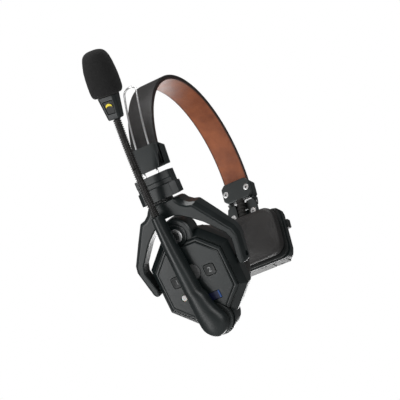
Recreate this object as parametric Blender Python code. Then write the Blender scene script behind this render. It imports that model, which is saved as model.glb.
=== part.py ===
"""Single-ear wireless intercom headset with a boom microphone.

The origin is the underside of the headband's crown. +Z is up, -X is the ear cup's side, +X is the
temple pad's side and -Y is the wearer's front. Sizes are in millimetres, and each mesh is scaled to
metres when it is finished.

Each side of the headset is drawn in its own datum, whose axes are: x outward from the head, y along
the headset's depth (towards the front on the left side, towards the back on the right), z upward.
"""

import bmesh
import bpy
from math import asin, copysign, cos, degrees, pi, radians, sin, sqrt, tan
from mathutils import Matrix, Vector

MM = 0.001
GAP = 0.3                    # clearance between pieces that touch

# ---- headband ---------------------------------------------------------------------------------
CROWN_RADIUS = 77.2          # inside of the lining, half the width of the head space
STRAP_WIDTH = 21.5
LINING_THICKNESS = 1.3
SPRING_THICKNESS = 0.6
SPRING_WIDTH = STRAP_WIDTH - 5.5
COVER_THICKNESS = 1.2
STRAP_LEFT_ANGLE = 96.0      # from the crown to the end inside the sleeve
STRAP_RIGHT_ANGLE = 96.0     # from the crown to the end inside the clamp
STRAP_STEPS = 36

# ---- size adjuster: the wires and the slider run on one arc ------------------------------------
ARC_RADIUS = 150.0           # nominal outer face of the sleeve, slider and cup
SLEEVE_ANGLE = 7.0           # place of the sleeve on the arc, below its centre's level
SLEEVE_STANDOFF = 5.18       # nominal face at the sleeve, out from the lining's inside
SLEEVE_DROP = 4.28           # sleeve's middle, below the level of the band's centre
WIRE_DIAMETER = 1.5
WIRE_SPACING = 11.0
WIRE_INSET = 0.3             # the wires' centre line, inside the nominal face
WIRE_TOP_ANGLE = -17.0       # top of the loop, above the arc centre's level
WIRE_DEPTH = 6.0             # length of each leg inside the slider

SLEEVE_WIDTH = STRAP_WIDTH + 5.0
SLEEVE_FACE_WIDTH = SLEEVE_WIDTH - 8.1
SLEEVE_FACE = 3.2            # outer face, out from the nominal face
SLEEVE_BACK = -13.5
SLEEVE_SPLIT = -7.0          # joint between the shell and the inner cover
SLEEVE_TOP = 10.0
SLEEVE_BOTTOM = -9.5
SLEEVE_WALL = 1.9

SLIDER_ANGLE = 17.0
SLIDER_WIDTH = SLEEVE_WIDTH + 2.7
SLIDER_LOBE_WIDTH = SLIDER_WIDTH + 3.4
SLIDER_FACE_WIDTH = SLIDER_WIDTH - 5.2
SLIDER_FACE = 4.0
SLIDER_BACK = -10.5
SLIDER_SPLIT = -3.0
SLIDER_TOP = 13.8

# ---- ear cup ----------------------------------------------------------------------------------
CUP_HALF_WIDTH = 33.5
CUP_HALF_HEIGHT = 34.3
CUP_FLAT_WIDTH = 16.5        # half length of the top and bottom edges
CUP_FLAT_HEIGHT = 18.0       # half length of the side edges
CUP_TOP = -14.2              # top edge, below the cup's place on the arc
CUP_CENTRE = CUP_TOP - CUP_HALF_HEIGHT
CUP_RIM = -9.0               # joint between the front and back shells
CUP_SHOULDER = -1.2          # where the side wall meets the slope
CUP_FACE = 6.8
CUP_WALL = 2.5
CUP_BACK = CUP_RIM - 3.6
FACEPLATE_TOP = CUP_FACE + 1.0
FACEPLATE_THICKNESS = 3.1

DIAL_HEIGHT = CUP_TOP + 1.3
DIAL_BOSS_RADIUS = 12.8
DIAL_BOSS_FACE = CUP_FACE - 2.2
DIAL_RADIUS = 8.5
DIAL_FLOOR = DIAL_BOSS_FACE - 3.8
DIAL_RING_RADIUS = 5.2
DIAL_RING_BORE = 3.0

TALK_BUTTON = (0.9, CUP_CENTRE + 6.2)     # (y, z) of the centre of each button
TALK_BUTTON_RADIUS = 5.9
BUTTON_ONE = (-14.1, CUP_CENTRE + 3.3)
BUTTON_TWO = (14.1, CUP_CENTRE + 3.3)
BUTTON_HALF = 4.2            # half the side of the two square buttons, and their corners
BUTTON_CORNER = 1.8
LED = (-14.4, CUP_CENTRE - 9.9)
LED_RADIUS = 2.4
LABEL = (9.0, CUP_CENTRE - 16.3)
LABEL_WIDTH = 9.0
LABEL_HEIGHT = 5.8

DRIVER_RADIUS = 18.0
CUSHION_RADIUS = CUP_HALF_WIDTH + 0.5
CUSHION_HOLE = DRIVER_RADIUS + 3.4
CUSHION_THICKNESS = 15.9
CUSHION_FACE = CUP_BACK - CUSHION_THICKNESS

# ---- yoke -------------------------------------------------------------------------------------
SWIVEL_ANGLE = 22.0
SWIVEL_DEPTH = -3.0          # swivel axis, out from the nominal face
SLIDER_END = 7.8             # slider's lower face along the swivel axis
YOKE_END = 5.6               # yoke's upper face along the swivel axis
KNUCKLE_RADIUS = 7.6
KNUCKLE_TEETH = 20
SWIVEL_PIN_RADIUS = 3.0

CUP_ANGLE = 25.0
TILT_DEPTH = -4.0            # cup tilt axis, out from the nominal face
TILT_HEIGHT = CUP_CENTRE + 2.5
TILT_PIN_RADIUS = 1.8
YOKE_FACE_TOP = 5.0          # yoke's outer face at its top and at its ends
YOKE_FACE_END = 1.2
YOKE_BACK_TOP = -13.0
YOKE_BACK_END = -8.5
YOKE_ARM_INNER = CUP_HALF_WIDTH + 1.4      # inside of the arm at the tilt pin
YOKE_ARM_THICKNESS = 4.0
YOKE_CHAMFER = 2.6           # of the outer edge, across and deep
YOKE_CHAMFER_DEPTH = 4.2

# ---- boom microphone --------------------------------------------------------------------------
BOOM_PIVOT = (1.5, CUP_CENTRE - CUP_HALF_HEIGHT + 1.0)
BOOM_HUB_RADIUS = 14.0
BOOM_HUB_FACE = CUP_FACE - 2.6
BOOM_DISC_RADIUS = 12.8
BOOM_PIN_RADIUS = 2.6
BOOM_BACK = FACEPLATE_TOP + 0.8            # the arm's inner face, out from the nominal face
BOOM_THICKNESS = 9.8
BOOM_FACE = BOOM_BACK + BOOM_THICKNESS
BOOM_END_RADIUS = 11.6
BOOM_END_OFFSET = -0.7       # the round end's middle, to the back of the pivot
BOOM_LENGTH = 89.3
BOOM_REST_ANGLE = 2.6        # the parked boom's lean from the cup's centre line, to the back

GOOSENECK_RADIUS = 2.7
GOOSENECK_LENGTH = 77.0
GOOSENECK_START_LEAN = 4.3
GOOSENECK_END_LEAN = 9.5
GOOSENECK_OFFSET = -1.1      # across the arm's centre line, where the neck leaves the arm
BEND_LOW = 26.0              # distances of the two bends along the neck
BEND_HIGH = 51.0
BEND_HALF_GAP = 2.3
BEND_BALL_RADIUS = 2.0

MIC_HOUSING_LENGTH = 17.6
FOAM_LENGTH = 34.4
FOAM_RADIUS = 12.3
CAPSULE_RADIUS = 5.2
CAPSULE_LENGTH = 12.5

# ---- temple pad -------------------------------------------------------------------------------
CLAMP_DROP_ANGLE = 3.0
CLAMP_TILT = 4.0
CLAMP_HALF_WIDTH = STRAP_WIDTH / 2 + 2.15
CLAMP_TOP = 9.2
CLAMP_BOTTOM = -8.2
CLAMP_CORNER = 3.2
CLAMP_PLATE_FACE = -7.2
CLAMP_PLATE_BACK = -2.8
CLAMP_BLOCK_INNER = 2.2
CLAMP_BLOCK_OUTER = 6.2
CLAMP_SCREW_SPACING = 2 * (CLAMP_HALF_WIDTH - 3.1)

PAD_HINGE_DEPTH = 1.5        # in the clamp's datum
PAD_HINGE_HEIGHT = -11.8
PAD_HINGE_RADIUS = 2.5
PAD_PIN_RADIUS = 1.2
PAD_TILT = 6.0
HOUSING_HALF_WIDTH = 34.0
HOUSING_OUTER_HALF_WIDTH = HOUSING_HALF_WIDTH - 4.5
HOUSING_TOP = -14.5
HOUSING_HEIGHT = 44.9
HOUSING_BOTTOM = HOUSING_TOP - HOUSING_HEIGHT
HOUSING_FRONT = -6.9
HOUSING_THICKNESS = 14.9
HOUSING_BACK = HOUSING_FRONT + HOUSING_THICKNESS
HOUSING_WALL = 2.2
PLATE_BACK = HOUSING_FRONT - GAP
PAD_BASE = PLATE_BACK - 2.5
PAD_THICKNESS = 11.3
PAD_FACE = PAD_BASE - PAD_THICKNESS
PAD_HALF_WIDTH = HOUSING_HALF_WIDTH - 1.6
PAD_TOP = HOUSING_TOP - 0.8
PAD_HEIGHT = HOUSING_HEIGHT - 2.7
PAD_CORNER = 9.0
BATTERY_HALF_WIDTH = HOUSING_HALF_WIDTH - 7.0
BATTERY_TOP = HOUSING_TOP - 5.0
LATCH_MIDDLE = HOUSING_TOP - 15.0
LATCH_HALF_HEIGHT = 3.7
LUG_SCREW_SPACING = 18.8
LUG_SCREW_HEIGHT = -20.7     # in the clamp's datum

SCREW_HEAD_RADIUS = 2.5
SCREW_SHANK_RADIUS = 1.1
SCREW_HEAD_HEIGHT = 1.3


for leftover in list(bpy.data.objects):
    bpy.data.objects.remove(leftover, do_unlink=True)


# ---- materials --------------------------------------------------------------------------------

def material(name, color, roughness, metallic=0.0):
    """A Principled material with one colour and finish."""
    made = bpy.data.materials.new(name)
    made.use_nodes = True
    shader = made.node_tree.nodes["Principled BSDF"]
    shader.inputs["Base Color"].default_value = (*color, 1.0)
    shader.inputs["Roughness"].default_value = roughness
    shader.inputs["Metallic"].default_value = metallic
    return made


FINISHES = {
    "black_plastic": ((0.030, 0.036, 0.036), 0.42, 0.0),
    "dark_plastic": ((0.018, 0.021, 0.021), 0.55, 0.0),
    "grey_plastic": ((0.130, 0.132, 0.132), 0.50, 0.0),
    "pale_plastic": ((0.420, 0.420, 0.410), 0.45, 0.0),
    "black_leather": ((0.022, 0.021, 0.020), 0.50, 0.0),
    "brown_leather": ((0.200, 0.068, 0.030), 0.55, 0.0),
    "steel": ((0.620, 0.620, 0.620), 0.22, 1.0),
    "dark_metal": ((0.085, 0.092, 0.092), 0.38, 0.8),
    "foam": ((0.014, 0.014, 0.014), 0.95, 0.0),
    "rubber": ((0.020, 0.018, 0.017), 0.80, 0.0),
    "circuit_green": ((0.020, 0.110, 0.050), 0.50, 0.0),
    "yellow": ((0.900, 0.680, 0.000), 0.50, 0.0),
    "blue": ((0.010, 0.045, 0.220), 0.35, 0.0),
    "lamp_white": ((0.800, 0.800, 0.780), 0.30, 0.0),
}


# ---- frames and bodies ------------------------------------------------------------------------

def left_datum(origin, tilt):
    """Axes of a piece on the ear cup's side, leaning inward by tilt towards its bottom."""
    out = Vector((-cos(radians(tilt)), 0.0, -sin(radians(tilt))))
    up = Vector((-sin(radians(tilt)), 0.0, cos(radians(tilt))))
    return Matrix.Translation(origin) @ Matrix((out, up.cross(out), up)).transposed().to_4x4()


def right_datum(origin, tilt):
    """Axes of a piece on the temple pad's side, leaning inward by tilt towards its bottom."""
    out = Vector((cos(radians(tilt)), 0.0, -sin(radians(tilt))))
    up = Vector((sin(radians(tilt)), 0.0, cos(radians(tilt))))
    return Matrix.Translation(origin) @ Matrix((out, up.cross(out), up)).transposed().to_4x4()


def arc_point(angle, radius=ARC_RADIUS):
    """A point of the adjuster's arc, at an angle below its centre's level."""
    turn = radians(angle)
    return ARC_CENTRE + Vector((-radius * cos(turn), 0.0, -radius * sin(turn)))


SLEEVE_TURN = radians(SLEEVE_ANGLE)
ARC_CENTRE = Vector((ARC_RADIUS * cos(SLEEVE_TURN) - CROWN_RADIUS - SLEEVE_STANDOFF, 0.0,
                     ARC_RADIUS * sin(SLEEVE_TURN) - CROWN_RADIUS - SLEEVE_DROP))
BAND_CENTRE = Vector((0.0, 0.0, -CROWN_RADIUS))
LINING_OUTER = CROWN_RADIUS + LINING_THICKNESS
SPRING_INNER = LINING_OUTER + GAP
SPRING_OUTER = SPRING_INNER + SPRING_THICKNESS
COVER_INNER = SPRING_OUTER + GAP
COVER_OUTER = COVER_INNER + COVER_THICKNESS
STRAP_MIDDLE = (CROWN_RADIUS + COVER_OUTER) / 2

WORLD = Matrix.Identity(4)
SLEEVE = left_datum(arc_point(SLEEVE_ANGLE), SLEEVE_ANGLE)
SLIDER = left_datum(arc_point(SLIDER_ANGLE), SLIDER_ANGLE)
SWIVEL = left_datum(arc_point(SWIVEL_ANGLE), SWIVEL_ANGLE)
CUP = left_datum(arc_point(CUP_ANGLE), CUP_ANGLE)
BOOM = CUP @ Matrix.Translation((0.0, *BOOM_PIVOT)) @ Matrix.Rotation(radians(BOOM_REST_ANGLE), 4, "X")
CLAMP_SPOT = BAND_CENTRE + STRAP_MIDDLE * Vector(
    (cos(radians(CLAMP_DROP_ANGLE)), 0.0, -sin(radians(CLAMP_DROP_ANGLE))))
CLAMP = right_datum(CLAMP_SPOT, CLAMP_TILT)
PAD_HINGE = CLAMP @ Vector((PAD_HINGE_DEPTH, 0.0, PAD_HINGE_HEIGHT))
PAD = right_datum(PAD_HINGE, PAD_TILT)


def gooseneck_point(distance):
    """Centre of the neck at a distance from the arm's end, and its lean there, in the boom's datum."""
    steps = 24
    bend = (GOOSENECK_END_LEAN - GOOSENECK_START_LEAN) / GOOSENECK_LENGTH
    across = GOOSENECK_OFFSET
    along = BOOM_LENGTH + GAP
    for step in range(steps):
        middle = distance * (step + 0.5) / steps
        lean = radians(GOOSENECK_START_LEAN + bend * middle)
        across += sin(lean) * distance / steps
        along += cos(lean) * distance / steps
    spot = Vector(((BOOM_BACK + BOOM_FACE) / 2, across, along))
    return spot, GOOSENECK_START_LEAN + bend * distance


def body(name, spot, parent=None):
    """An empty on a moving body's joint axis, which the body's pieces and the next bodies follow."""
    empty = bpy.data.objects.new(name, None)
    empty.empty_display_size = 5.0 * MM
    bpy.context.collection.objects.link(empty)
    origin = Vector((0.0, 0.0, 0.0))
    if parent is not None:
        empty.parent = parent["empty"]
        origin = parent["spot"]
    empty.location = (Vector(spot) - origin) * MM
    return {"empty": empty, "spot": Vector(spot)}


MIC_SPOT, MIC_LEAN = gooseneck_point(GOOSENECK_LENGTH)
MIC = BOOM @ Matrix.Translation(MIC_SPOT) @ Matrix.Rotation(radians(-MIC_LEAN), 4, "X")

headband = body("headband_body", (0.0, 0.0, 0.0))
slider = body("slider_body", ARC_CENTRE, headband)
yoke = body("yoke_body", SWIVEL @ Vector((SWIVEL_DEPTH, 0.0, YOKE_END)), slider)
cup = body("cup_body", CUP @ Vector((TILT_DEPTH, 0.0, TILT_HEIGHT)), yoke)
dial = body("dial_body", CUP @ Vector((DIAL_FLOOR, 0.0, DIAL_HEIGHT)), cup)
talk = body("talk_button_body", CUP @ Vector((FACEPLATE_TOP, *TALK_BUTTON)), cup)
first = body("button_one_body", CUP @ Vector((FACEPLATE_TOP, *BUTTON_ONE)), cup)
second = body("button_two_body", CUP @ Vector((FACEPLATE_TOP, *BUTTON_TWO)), cup)
boom = body("boom_body", BOOM @ Vector((BOOM_HUB_FACE, 0.0, 0.0)), cup)
neck = body("neck_body", BOOM @ gooseneck_point(BEND_LOW)[0], boom)
mic = body("mic_body", BOOM @ gooseneck_point(BEND_HIGH)[0], neck)
pad = body("pad_body", PAD_HINGE, headband)
battery = body("battery_body", PAD @ Vector((0.0, 0.0, HOUSING_BOTTOM)), pad)
latch = body("latch_body", PAD @ Vector((1.0, -HOUSING_HALF_WIDTH, LATCH_MIDDLE)), pad)


# ---- modelling helpers ------------------------------------------------------------------------

def loft(rings, closed=False):
    """Skin through rings that have the same number of points; closed joins the last to the first."""
    mesh = bmesh.new()
    loops = [[mesh.verts.new(point) for point in ring] for ring in rings]
    pairs = list(zip(loops, loops[1:]))
    if closed:
        pairs.append((loops[-1], loops[0]))
    for near, far in pairs:
        count = len(near)
        for index in range(count):
            after = (index + 1) % count
            mesh.faces.new((near[index], near[after], far[after], far[index]))
    if not closed:
        mesh.faces.new(loops[0])
        mesh.faces.new(loops[-1])
    bmesh.ops.recalc_face_normals(mesh, faces=mesh.faces)
    return mesh


def merge(*meshes):
    """Several separate solids in one mesh."""
    whole = bmesh.new()
    for mesh in meshes:
        carrier = bpy.data.meshes.new("carrier")
        mesh.to_mesh(carrier)
        mesh.free()
        whole.from_mesh(carrier)
        bpy.data.meshes.remove(carrier)
    return whole


def prism(outline, near, far):
    """An outline in y and z, extruded along x."""
    return loft([[(depth, y, z) for y, z in outline] for depth in (near, far)])


def block(near, far, y_low, y_high, z_low, z_high):
    """A box between two depths."""
    return prism([(y_low, z_low), (y_high, z_low), (y_high, z_high), (y_low, z_high)], near, far)


def circle(radius, y=0.0, z=0.0, count=32):
    """Points around a circle in y and z."""
    turns = [2 * pi * index / count for index in range(count)]
    return [(y + radius * cos(turn), z + radius * sin(turn)) for turn in turns]


def turned(profile, y=0.0, z=0.0, count=32, closed=False):
    """A profile of (x, radius) pairs, turned about an axis along x."""
    rings = [[(depth, *spot) for spot in circle(radius, y, z, count)] for depth, radius in profile]
    return loft(rings, closed)


def cross_pin(radius, x, z, y_low, y_high, count=20):
    """A cylinder along y."""
    turns = [2 * pi * index / count for index in range(count)]
    return loft([[(x + radius * cos(turn), y, z + radius * sin(turn)) for turn in turns]
                 for y in (y_low, y_high)])


def octagon(share, centre=CUP_CENTRE):
    """The ear cup's outline, scaled about its centre."""
    wide, tall = CUP_HALF_WIDTH * share, CUP_HALF_HEIGHT * share
    flat_wide, flat_tall = CUP_FLAT_WIDTH * share, CUP_FLAT_HEIGHT * share
    corner = [(flat_wide, tall), (wide, flat_tall), (wide, -flat_tall), (flat_wide, -tall)]
    other = [(-y, z) for y, z in reversed(corner)]
    return [(y, centre + z) for y, z in corner + other]


def rounded_box(half_width, low, high, corner, steps=3):
    """A rectangle in y and z with round corners."""
    points = []
    corners = [(half_width, high, 0), (-half_width, high, 90),
               (-half_width, low, 180), (half_width, low, 270)]
    for y, z, start in corners:
        y_centre = y - corner if y > 0 else y + corner
        z_centre = z - corner if z == high else z + corner
        for step in range(steps + 1):
            turn = radians(start + 90 * step / steps)
            points.append((y_centre + corner * cos(turn), z_centre + corner * sin(turn)))
    return points


def finish(name, mesh, datum, owner, finish_name):
    """Turn a mesh drawn in a datum into a named piece of a body."""
    shift = Matrix.Translation(-owner["spot"]) @ datum
    mesh.transform(Matrix.Scale(MM, 4) @ shift)
    data = bpy.data.meshes.new(name)
    mesh.to_mesh(data)
    mesh.free()
    piece = bpy.data.objects.new(name, data)
    bpy.context.collection.objects.link(piece)
    piece.parent = owner["empty"]
    if finish_name:
        data.materials.append(material(name, *FINISHES[finish_name]))
        data.shade_smooth()
        data.set_sharp_from_angle(angle=radians(35))
    return piece


def bevel(piece, width, segments=1):
    """Break the piece's sharp edges."""
    modifier = piece.modifiers.new("edges", "BEVEL")
    modifier.width = width * MM
    modifier.segments = segments
    modifier.limit_method = "ANGLE"
    modifier.angle_limit = radians(35)


def combine(piece, mesh, datum, operation):
    """Join a mesh to a piece, or cut it away, with a Boolean."""
    owner = {"empty": piece.parent, "spot": piece.parent.matrix_world.translation / MM}
    tool = finish(piece.name + "_tool", mesh, datum, owner, None)
    tool.hide_render = True
    tool.display_type = "WIRE"
    tool.hide_set(True)
    modifier = piece.modifiers.new(operation.lower(), "BOOLEAN")
    modifier.operation = operation
    modifier.solver = "EXACT"
    modifier.object = tool


def cut(piece, mesh, datum):
    combine(piece, mesh, datum, "DIFFERENCE")


def join(piece, mesh, datum):
    combine(piece, mesh, datum, "UNION")


def screw(y, z, head, tip, room=0.0):
    """A countersunk screw along x, or with room around it the hole that it sits in."""
    way = 1.0 if tip > head else -1.0
    neck = head + way * SCREW_HEAD_HEIGHT
    head_radius, shank_radius = SCREW_HEAD_RADIUS + room, SCREW_SHANK_RADIUS + room
    profile = [(head - way * room * 3, head_radius), (head, head_radius),
               (neck + way * room, shank_radius), (tip + way * room, shank_radius)]
    if room == 0.0:
        profile = profile[1:]
    return turned(profile, y, z, 16)


def fasten(name, spots, head, tip, datum, owner, pieces):
    """A screw at each spot, front or top first, and the holes for them in the pieces that they hold."""
    for count, (y, z) in enumerate(spots, start=1):
        finish(f"{name}_{count}", screw(y, z, head, tip), datum, owner, "steel")
    for piece in pieces:
        cut(piece, merge(*[screw(y, z, head, tip, GAP) for y, z in spots]), datum)


bpy.context.view_layer.update()


# ---- headband strap ---------------------------------------------------------------------------

def strap_layer(inner, outer, width):
    """A strip bent over the crown, with its long edges broken."""
    half, edge = width / 2, (outer - inner) * 0.25
    section = [(inner, half - edge), (inner + edge, half), (outer - edge, half), (outer, half - edge)]
    section += [(radius, -y) for radius, y in reversed(section)]
    rings = []
    for step in range(STRAP_STEPS + 1):
        turn = radians(-STRAP_LEFT_ANGLE + (STRAP_LEFT_ANGLE + STRAP_RIGHT_ANGLE) * step / STRAP_STEPS)
        rings.append([BAND_CENTRE + Vector((radius * sin(turn), y, radius * cos(turn)))
                      for radius, y in section])
    return loft(rings)


for name, inner, outer, width, finish_name in (
        ("band_leather_cover", COVER_INNER, COVER_OUTER, STRAP_WIDTH, "black_leather"),
        ("band_spring_strip", SPRING_INNER, SPRING_OUTER, SPRING_WIDTH, "steel"),
        ("band_brown_lining", CROWN_RADIUS, LINING_OUTER, STRAP_WIDTH, "brown_leather")):
    finish(name, strap_layer(inner, outer, width), WORLD, headband, finish_name)


# ---- sleeve on the strap's left end --------------------------------------------------------------

def sleeve_ring(section, top):
    """A cross-section of the sleeve; its lower and upper ends slope towards the head."""
    if top:
        return [(x, y, SLEEVE_TOP - 0.09 * (SLEEVE_FACE - x)) for x, y in section]
    return [(x, y, SLEEVE_BOTTOM + 0.24 * (SLEEVE_FACE - x)) for x, y in section]


def mirrored(section):
    """A half section and its mirror image across the centre line."""
    return section + [(x, -y) for x, y in reversed(section)]


half_sleeve = SLEEVE_WIDTH / 2
half_face = SLEEVE_FACE_WIDTH / 2
inside = half_sleeve - SLEEVE_WALL
shell_floor = WIRE_DIAMETER / 2 + GAP - WIRE_INSET + 0.1
channel = mirrored([(SLEEVE_FACE, half_face), (SLEEVE_FACE - half_sleeve + half_face, half_sleeve),
                    (SLEEVE_SPLIT, half_sleeve), (SLEEVE_SPLIT, inside),
                    (shell_floor - 2.6, inside), (shell_floor, half_face - 0.6)])
sleeve = finish("slider_sleeve", loft([sleeve_ring(channel, False), sleeve_ring(channel, True)]),
                SLEEVE, headband, "black_plastic")

lid_face = SLEEVE_SPLIT - GAP
lid = mirrored([(lid_face, half_sleeve), (SLEEVE_BACK + 2.5, half_sleeve),
                (SLEEVE_BACK, half_sleeve - 2.5)])
inner_cover = finish("sleeve_inner_cover", loft([sleeve_ring(lid, False), sleeve_ring(lid, True)]),
                     SLEEVE, headband, "black_plastic")
SLEEVE_SCREWS = [(half_face - 3.2, 1.0), (3.2 - half_face, 1.0)]
fasten("sleeve_screw", SLEEVE_SCREWS, SLEEVE_BACK, lid_face - 0.6, SLEEVE, headband, [inner_cover])


# ---- slider: wire loop, block and swivel knuckle ---------------------------------------------------

def wire_path():
    """Centre line of the loop: up one leg, round the top and down the other."""
    radius = ARC_RADIUS - WIRE_INSET
    half = WIRE_SPACING / 2
    turn_angle = WIRE_TOP_ANGLE + degrees(half / radius)
    leg_end = SLIDER_ANGLE - degrees((SLIDER_TOP - WIRE_DEPTH) / radius)
    legs = [leg_end + (turn_angle - leg_end) * step / 12 for step in range(12)]
    path = [arc_point(angle, radius) + Vector((0.0, half, 0.0)) for angle in legs]
    for step in range(9):
        turn = pi * step / 8
        angle = turn_angle - degrees(half * sin(turn) / radius)
        path.append(arc_point(angle, radius) + Vector((0.0, half * cos(turn), 0.0)))
    path += [arc_point(angle, radius) + Vector((0.0, -half, 0.0)) for angle in reversed(legs)]
    return path


def wire(name, path, radius, owner, finish_name):
    """A round wire along a path."""
    curve = bpy.data.curves.new(name, "CURVE")
    curve.dimensions = "3D"
    curve.bevel_depth = radius * MM
    curve.bevel_resolution = 2
    curve.use_fill_caps = True
    spline = curve.splines.new("POLY")
    spline.points.add(len(path) - 1)
    for point, spot in zip(spline.points, path):
        point.co = (*((spot - owner["spot"]) * MM), 1.0)
    curve.materials.append(material(name, *FINISHES[finish_name]))
    piece = bpy.data.objects.new(name, curve)
    bpy.context.collection.objects.link(piece)
    piece.parent = owner["empty"]
    return piece


wire("slide_wire_loop", wire_path(), WIRE_DIAMETER / 2, slider, "steel")

swivel_slope = tan(radians(SWIVEL_ANGLE - SLIDER_ANGLE))
slider_foot = SLIDER.inverted() @ SWIVEL @ Vector((SWIVEL_DEPTH, 0.0, SLIDER_END))
half_lobe = SLIDER_LOBE_WIDTH / 2
half_block = SLIDER_WIDTH / 2
half_panel = SLIDER_FACE_WIDTH / 2
LOBE_TOP = 4.2
BAND_TOP = 7.8


def slider_rings(lobe, band, upper):
    """Cross-sections of half of the block, from its sloping foot to its top."""
    foot = [(x, y, slider_foot.z - swivel_slope * (x - slider_foot.x)) for x, y in lobe]
    levels = [(lobe, LOBE_TOP), (band, LOBE_TOP + 0.3), (band, BAND_TOP), (upper, BAND_TOP + 0.3),
              (upper, SLIDER_TOP)]
    return [foot] + [[(x, y, z) for x, y in section] for section, z in levels]


front_lobe = mirrored([(SLIDER_FACE, half_panel), (SLIDER_FACE - 3.5, half_lobe),
                       (SLIDER_SPLIT, half_lobe)])
front_band = mirrored([(SLIDER_FACE - 1.8, half_block - 1.0), (SLIDER_FACE - 2.6, half_block),
                       (SLIDER_SPLIT, half_block)])
front_top = mirrored([(SLIDER_FACE - 1.0, half_block - 1.0), (SLIDER_FACE - 2.0, half_block),
                      (SLIDER_SPLIT, half_block)])
block_front = finish("slider_block_front", loft(slider_rings(front_lobe, front_band, front_top)),
                     SLIDER, slider, "black_plastic")

back_face = SLIDER_SPLIT - GAP
back_lobe = mirrored([(back_face, half_lobe), (SLIDER_BACK + 2.5, half_lobe),
                      (SLIDER_BACK, half_lobe - 3.0)])
back_top = mirrored([(back_face, half_block), (SLIDER_BACK + 2.0, half_block),
                     (SLIDER_BACK, half_block - 2.0)])
block_back = finish("slider_block_back", loft(slider_rings(back_lobe, back_top, back_top)),
                    SLIDER, slider, "black_plastic")


def wire_hole(side):
    """The hole for one leg, which leans with the arc."""
    rings = []
    for z in (SLIDER_TOP - WIRE_DEPTH - 1.0, SLIDER_TOP + 2.0):
        centre = sqrt((ARC_RADIUS - WIRE_INSET) ** 2 - z ** 2) - ARC_RADIUS
        outline = circle(WIRE_DIAMETER / 2 + GAP, count=16)
        rings.append([(centre + x, side * WIRE_SPACING / 2 + y, z) for x, y in outline])
    return loft(rings)


cut(block_front, merge(wire_hole(-1), wire_hole(1)), SLIDER)

SLIDER_SCREWS = [(half_block - 4.1, 5.5), (4.1 - half_block, 5.5)]
SLIDER_SCREW_TIP = -1.0
fasten("slider_screw", SLIDER_SCREWS, SLIDER_BACK, SLIDER_SCREW_TIP, SLIDER, slider,
       [block_front, block_back])


def upright(radius, low, high, count=24):
    """A cylinder along the swivel axis."""
    return loft([[(SWIVEL_DEPTH + x, y, z) for x, y in circle(radius, count=count)] for z in (low, high)])


PIN_TOP = SLIDER_END + 7.0
PIN_FOOT = YOKE_END - 5.0
for half_of_block in (block_front, block_back):
    cut(half_of_block, upright(SWIVEL_PIN_RADIUS + GAP, SLIDER_END - 1.0, PIN_TOP + GAP), SWIVEL)

teeth = []
for index in range(KNUCKLE_TEETH * 4):
    radius = KNUCKLE_RADIUS if index % 4 < 2 else KNUCKLE_RADIUS - 0.8
    turn = 2 * pi * index / (KNUCKLE_TEETH * 4)
    teeth.append((SWIVEL_DEPTH + radius * cos(turn), radius * sin(turn)))
knuckle_low, knuckle_high = YOKE_END + GAP, SLIDER_END - GAP
knuckle_rings = [[(x, y, z) for x, y in teeth] for z in (knuckle_low, knuckle_high)]
knuckle = finish("swivel_knuckle", loft(knuckle_rings), SWIVEL, slider, "dark_plastic")
cut(knuckle, upright(SWIVEL_PIN_RADIUS + GAP, knuckle_low - 1.0, knuckle_high + 1.0), SWIVEL)


# ---- yoke -----------------------------------------------------------------------------------------

yoke_head = CUP.inverted() @ yoke["spot"]
head_slope = tan(radians(CUP_ANGLE - SWIVEL_ANGLE))
ARM_FOOT = TILT_HEIGHT - 5.2
arm_outer = YOKE_ARM_INNER + YOKE_ARM_THICKNESS
side_y, side_z = CUP_HALF_WIDTH, CUP_CENTRE + CUP_FLAT_HEIGHT      # the cup's upper corners
top_y, top_z = CUP_FLAT_WIDTH, CUP_TOP
YOKE_OUTER = [(10.5, yoke_head.z), (11.6, 10.0), (13.6, 7.2), (top_y + 0.7, top_z + 18.8),
              (top_y + 5.2, top_z + 17.6), (top_y + 6.5, top_z + 15.8), (top_y + 14.5, top_z + 4.4),
              (side_y + 7.4, side_z + 6.1), (side_y + 8.9, side_z + 0.2),
              (arm_outer, TILT_HEIGHT - 3.0), (arm_outer - 1.2, ARM_FOOT)]
YOKE_INNER = [(YOKE_ARM_INNER, ARM_FOOT), (YOKE_ARM_INNER, TILT_HEIGHT), (side_y + 4.4, side_z - 0.5),
              (side_y + 2.5, side_z + 5.1), (top_y + 7.8, top_z + 2.6), (top_y + 0.5, top_z + 8.6),
              (10.0, -0.6), (4.5, 1.6)]


def yoke_ring(face_top, face_end, grow):
    """The yoke's outline at one depth, which leans in at its ends; grow widens its outside."""
    wider = [(y + grow, min(z + grow * 0.6, yoke_head.z)) for y, z in YOKE_OUTER[1:-2]]
    half = [(YOKE_OUTER[0][0] + grow * 0.6, yoke_head.z)] + wider
    half += [(y + grow, z) for y, z in YOKE_OUTER[-2:]] + YOKE_INNER
    outline = half + [(-y, z) for y, z in reversed(half)]
    ring = []
    for y, z in outline:
        share = (yoke_head.z - z) / (yoke_head.z - ARM_FOOT)
        x = face_top + (face_end - face_top) * share
        if z == yoke_head.z:
            z = yoke_head.z + head_slope * (x - yoke_head.x)
        ring.append((x, y, z))
    return ring


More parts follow.
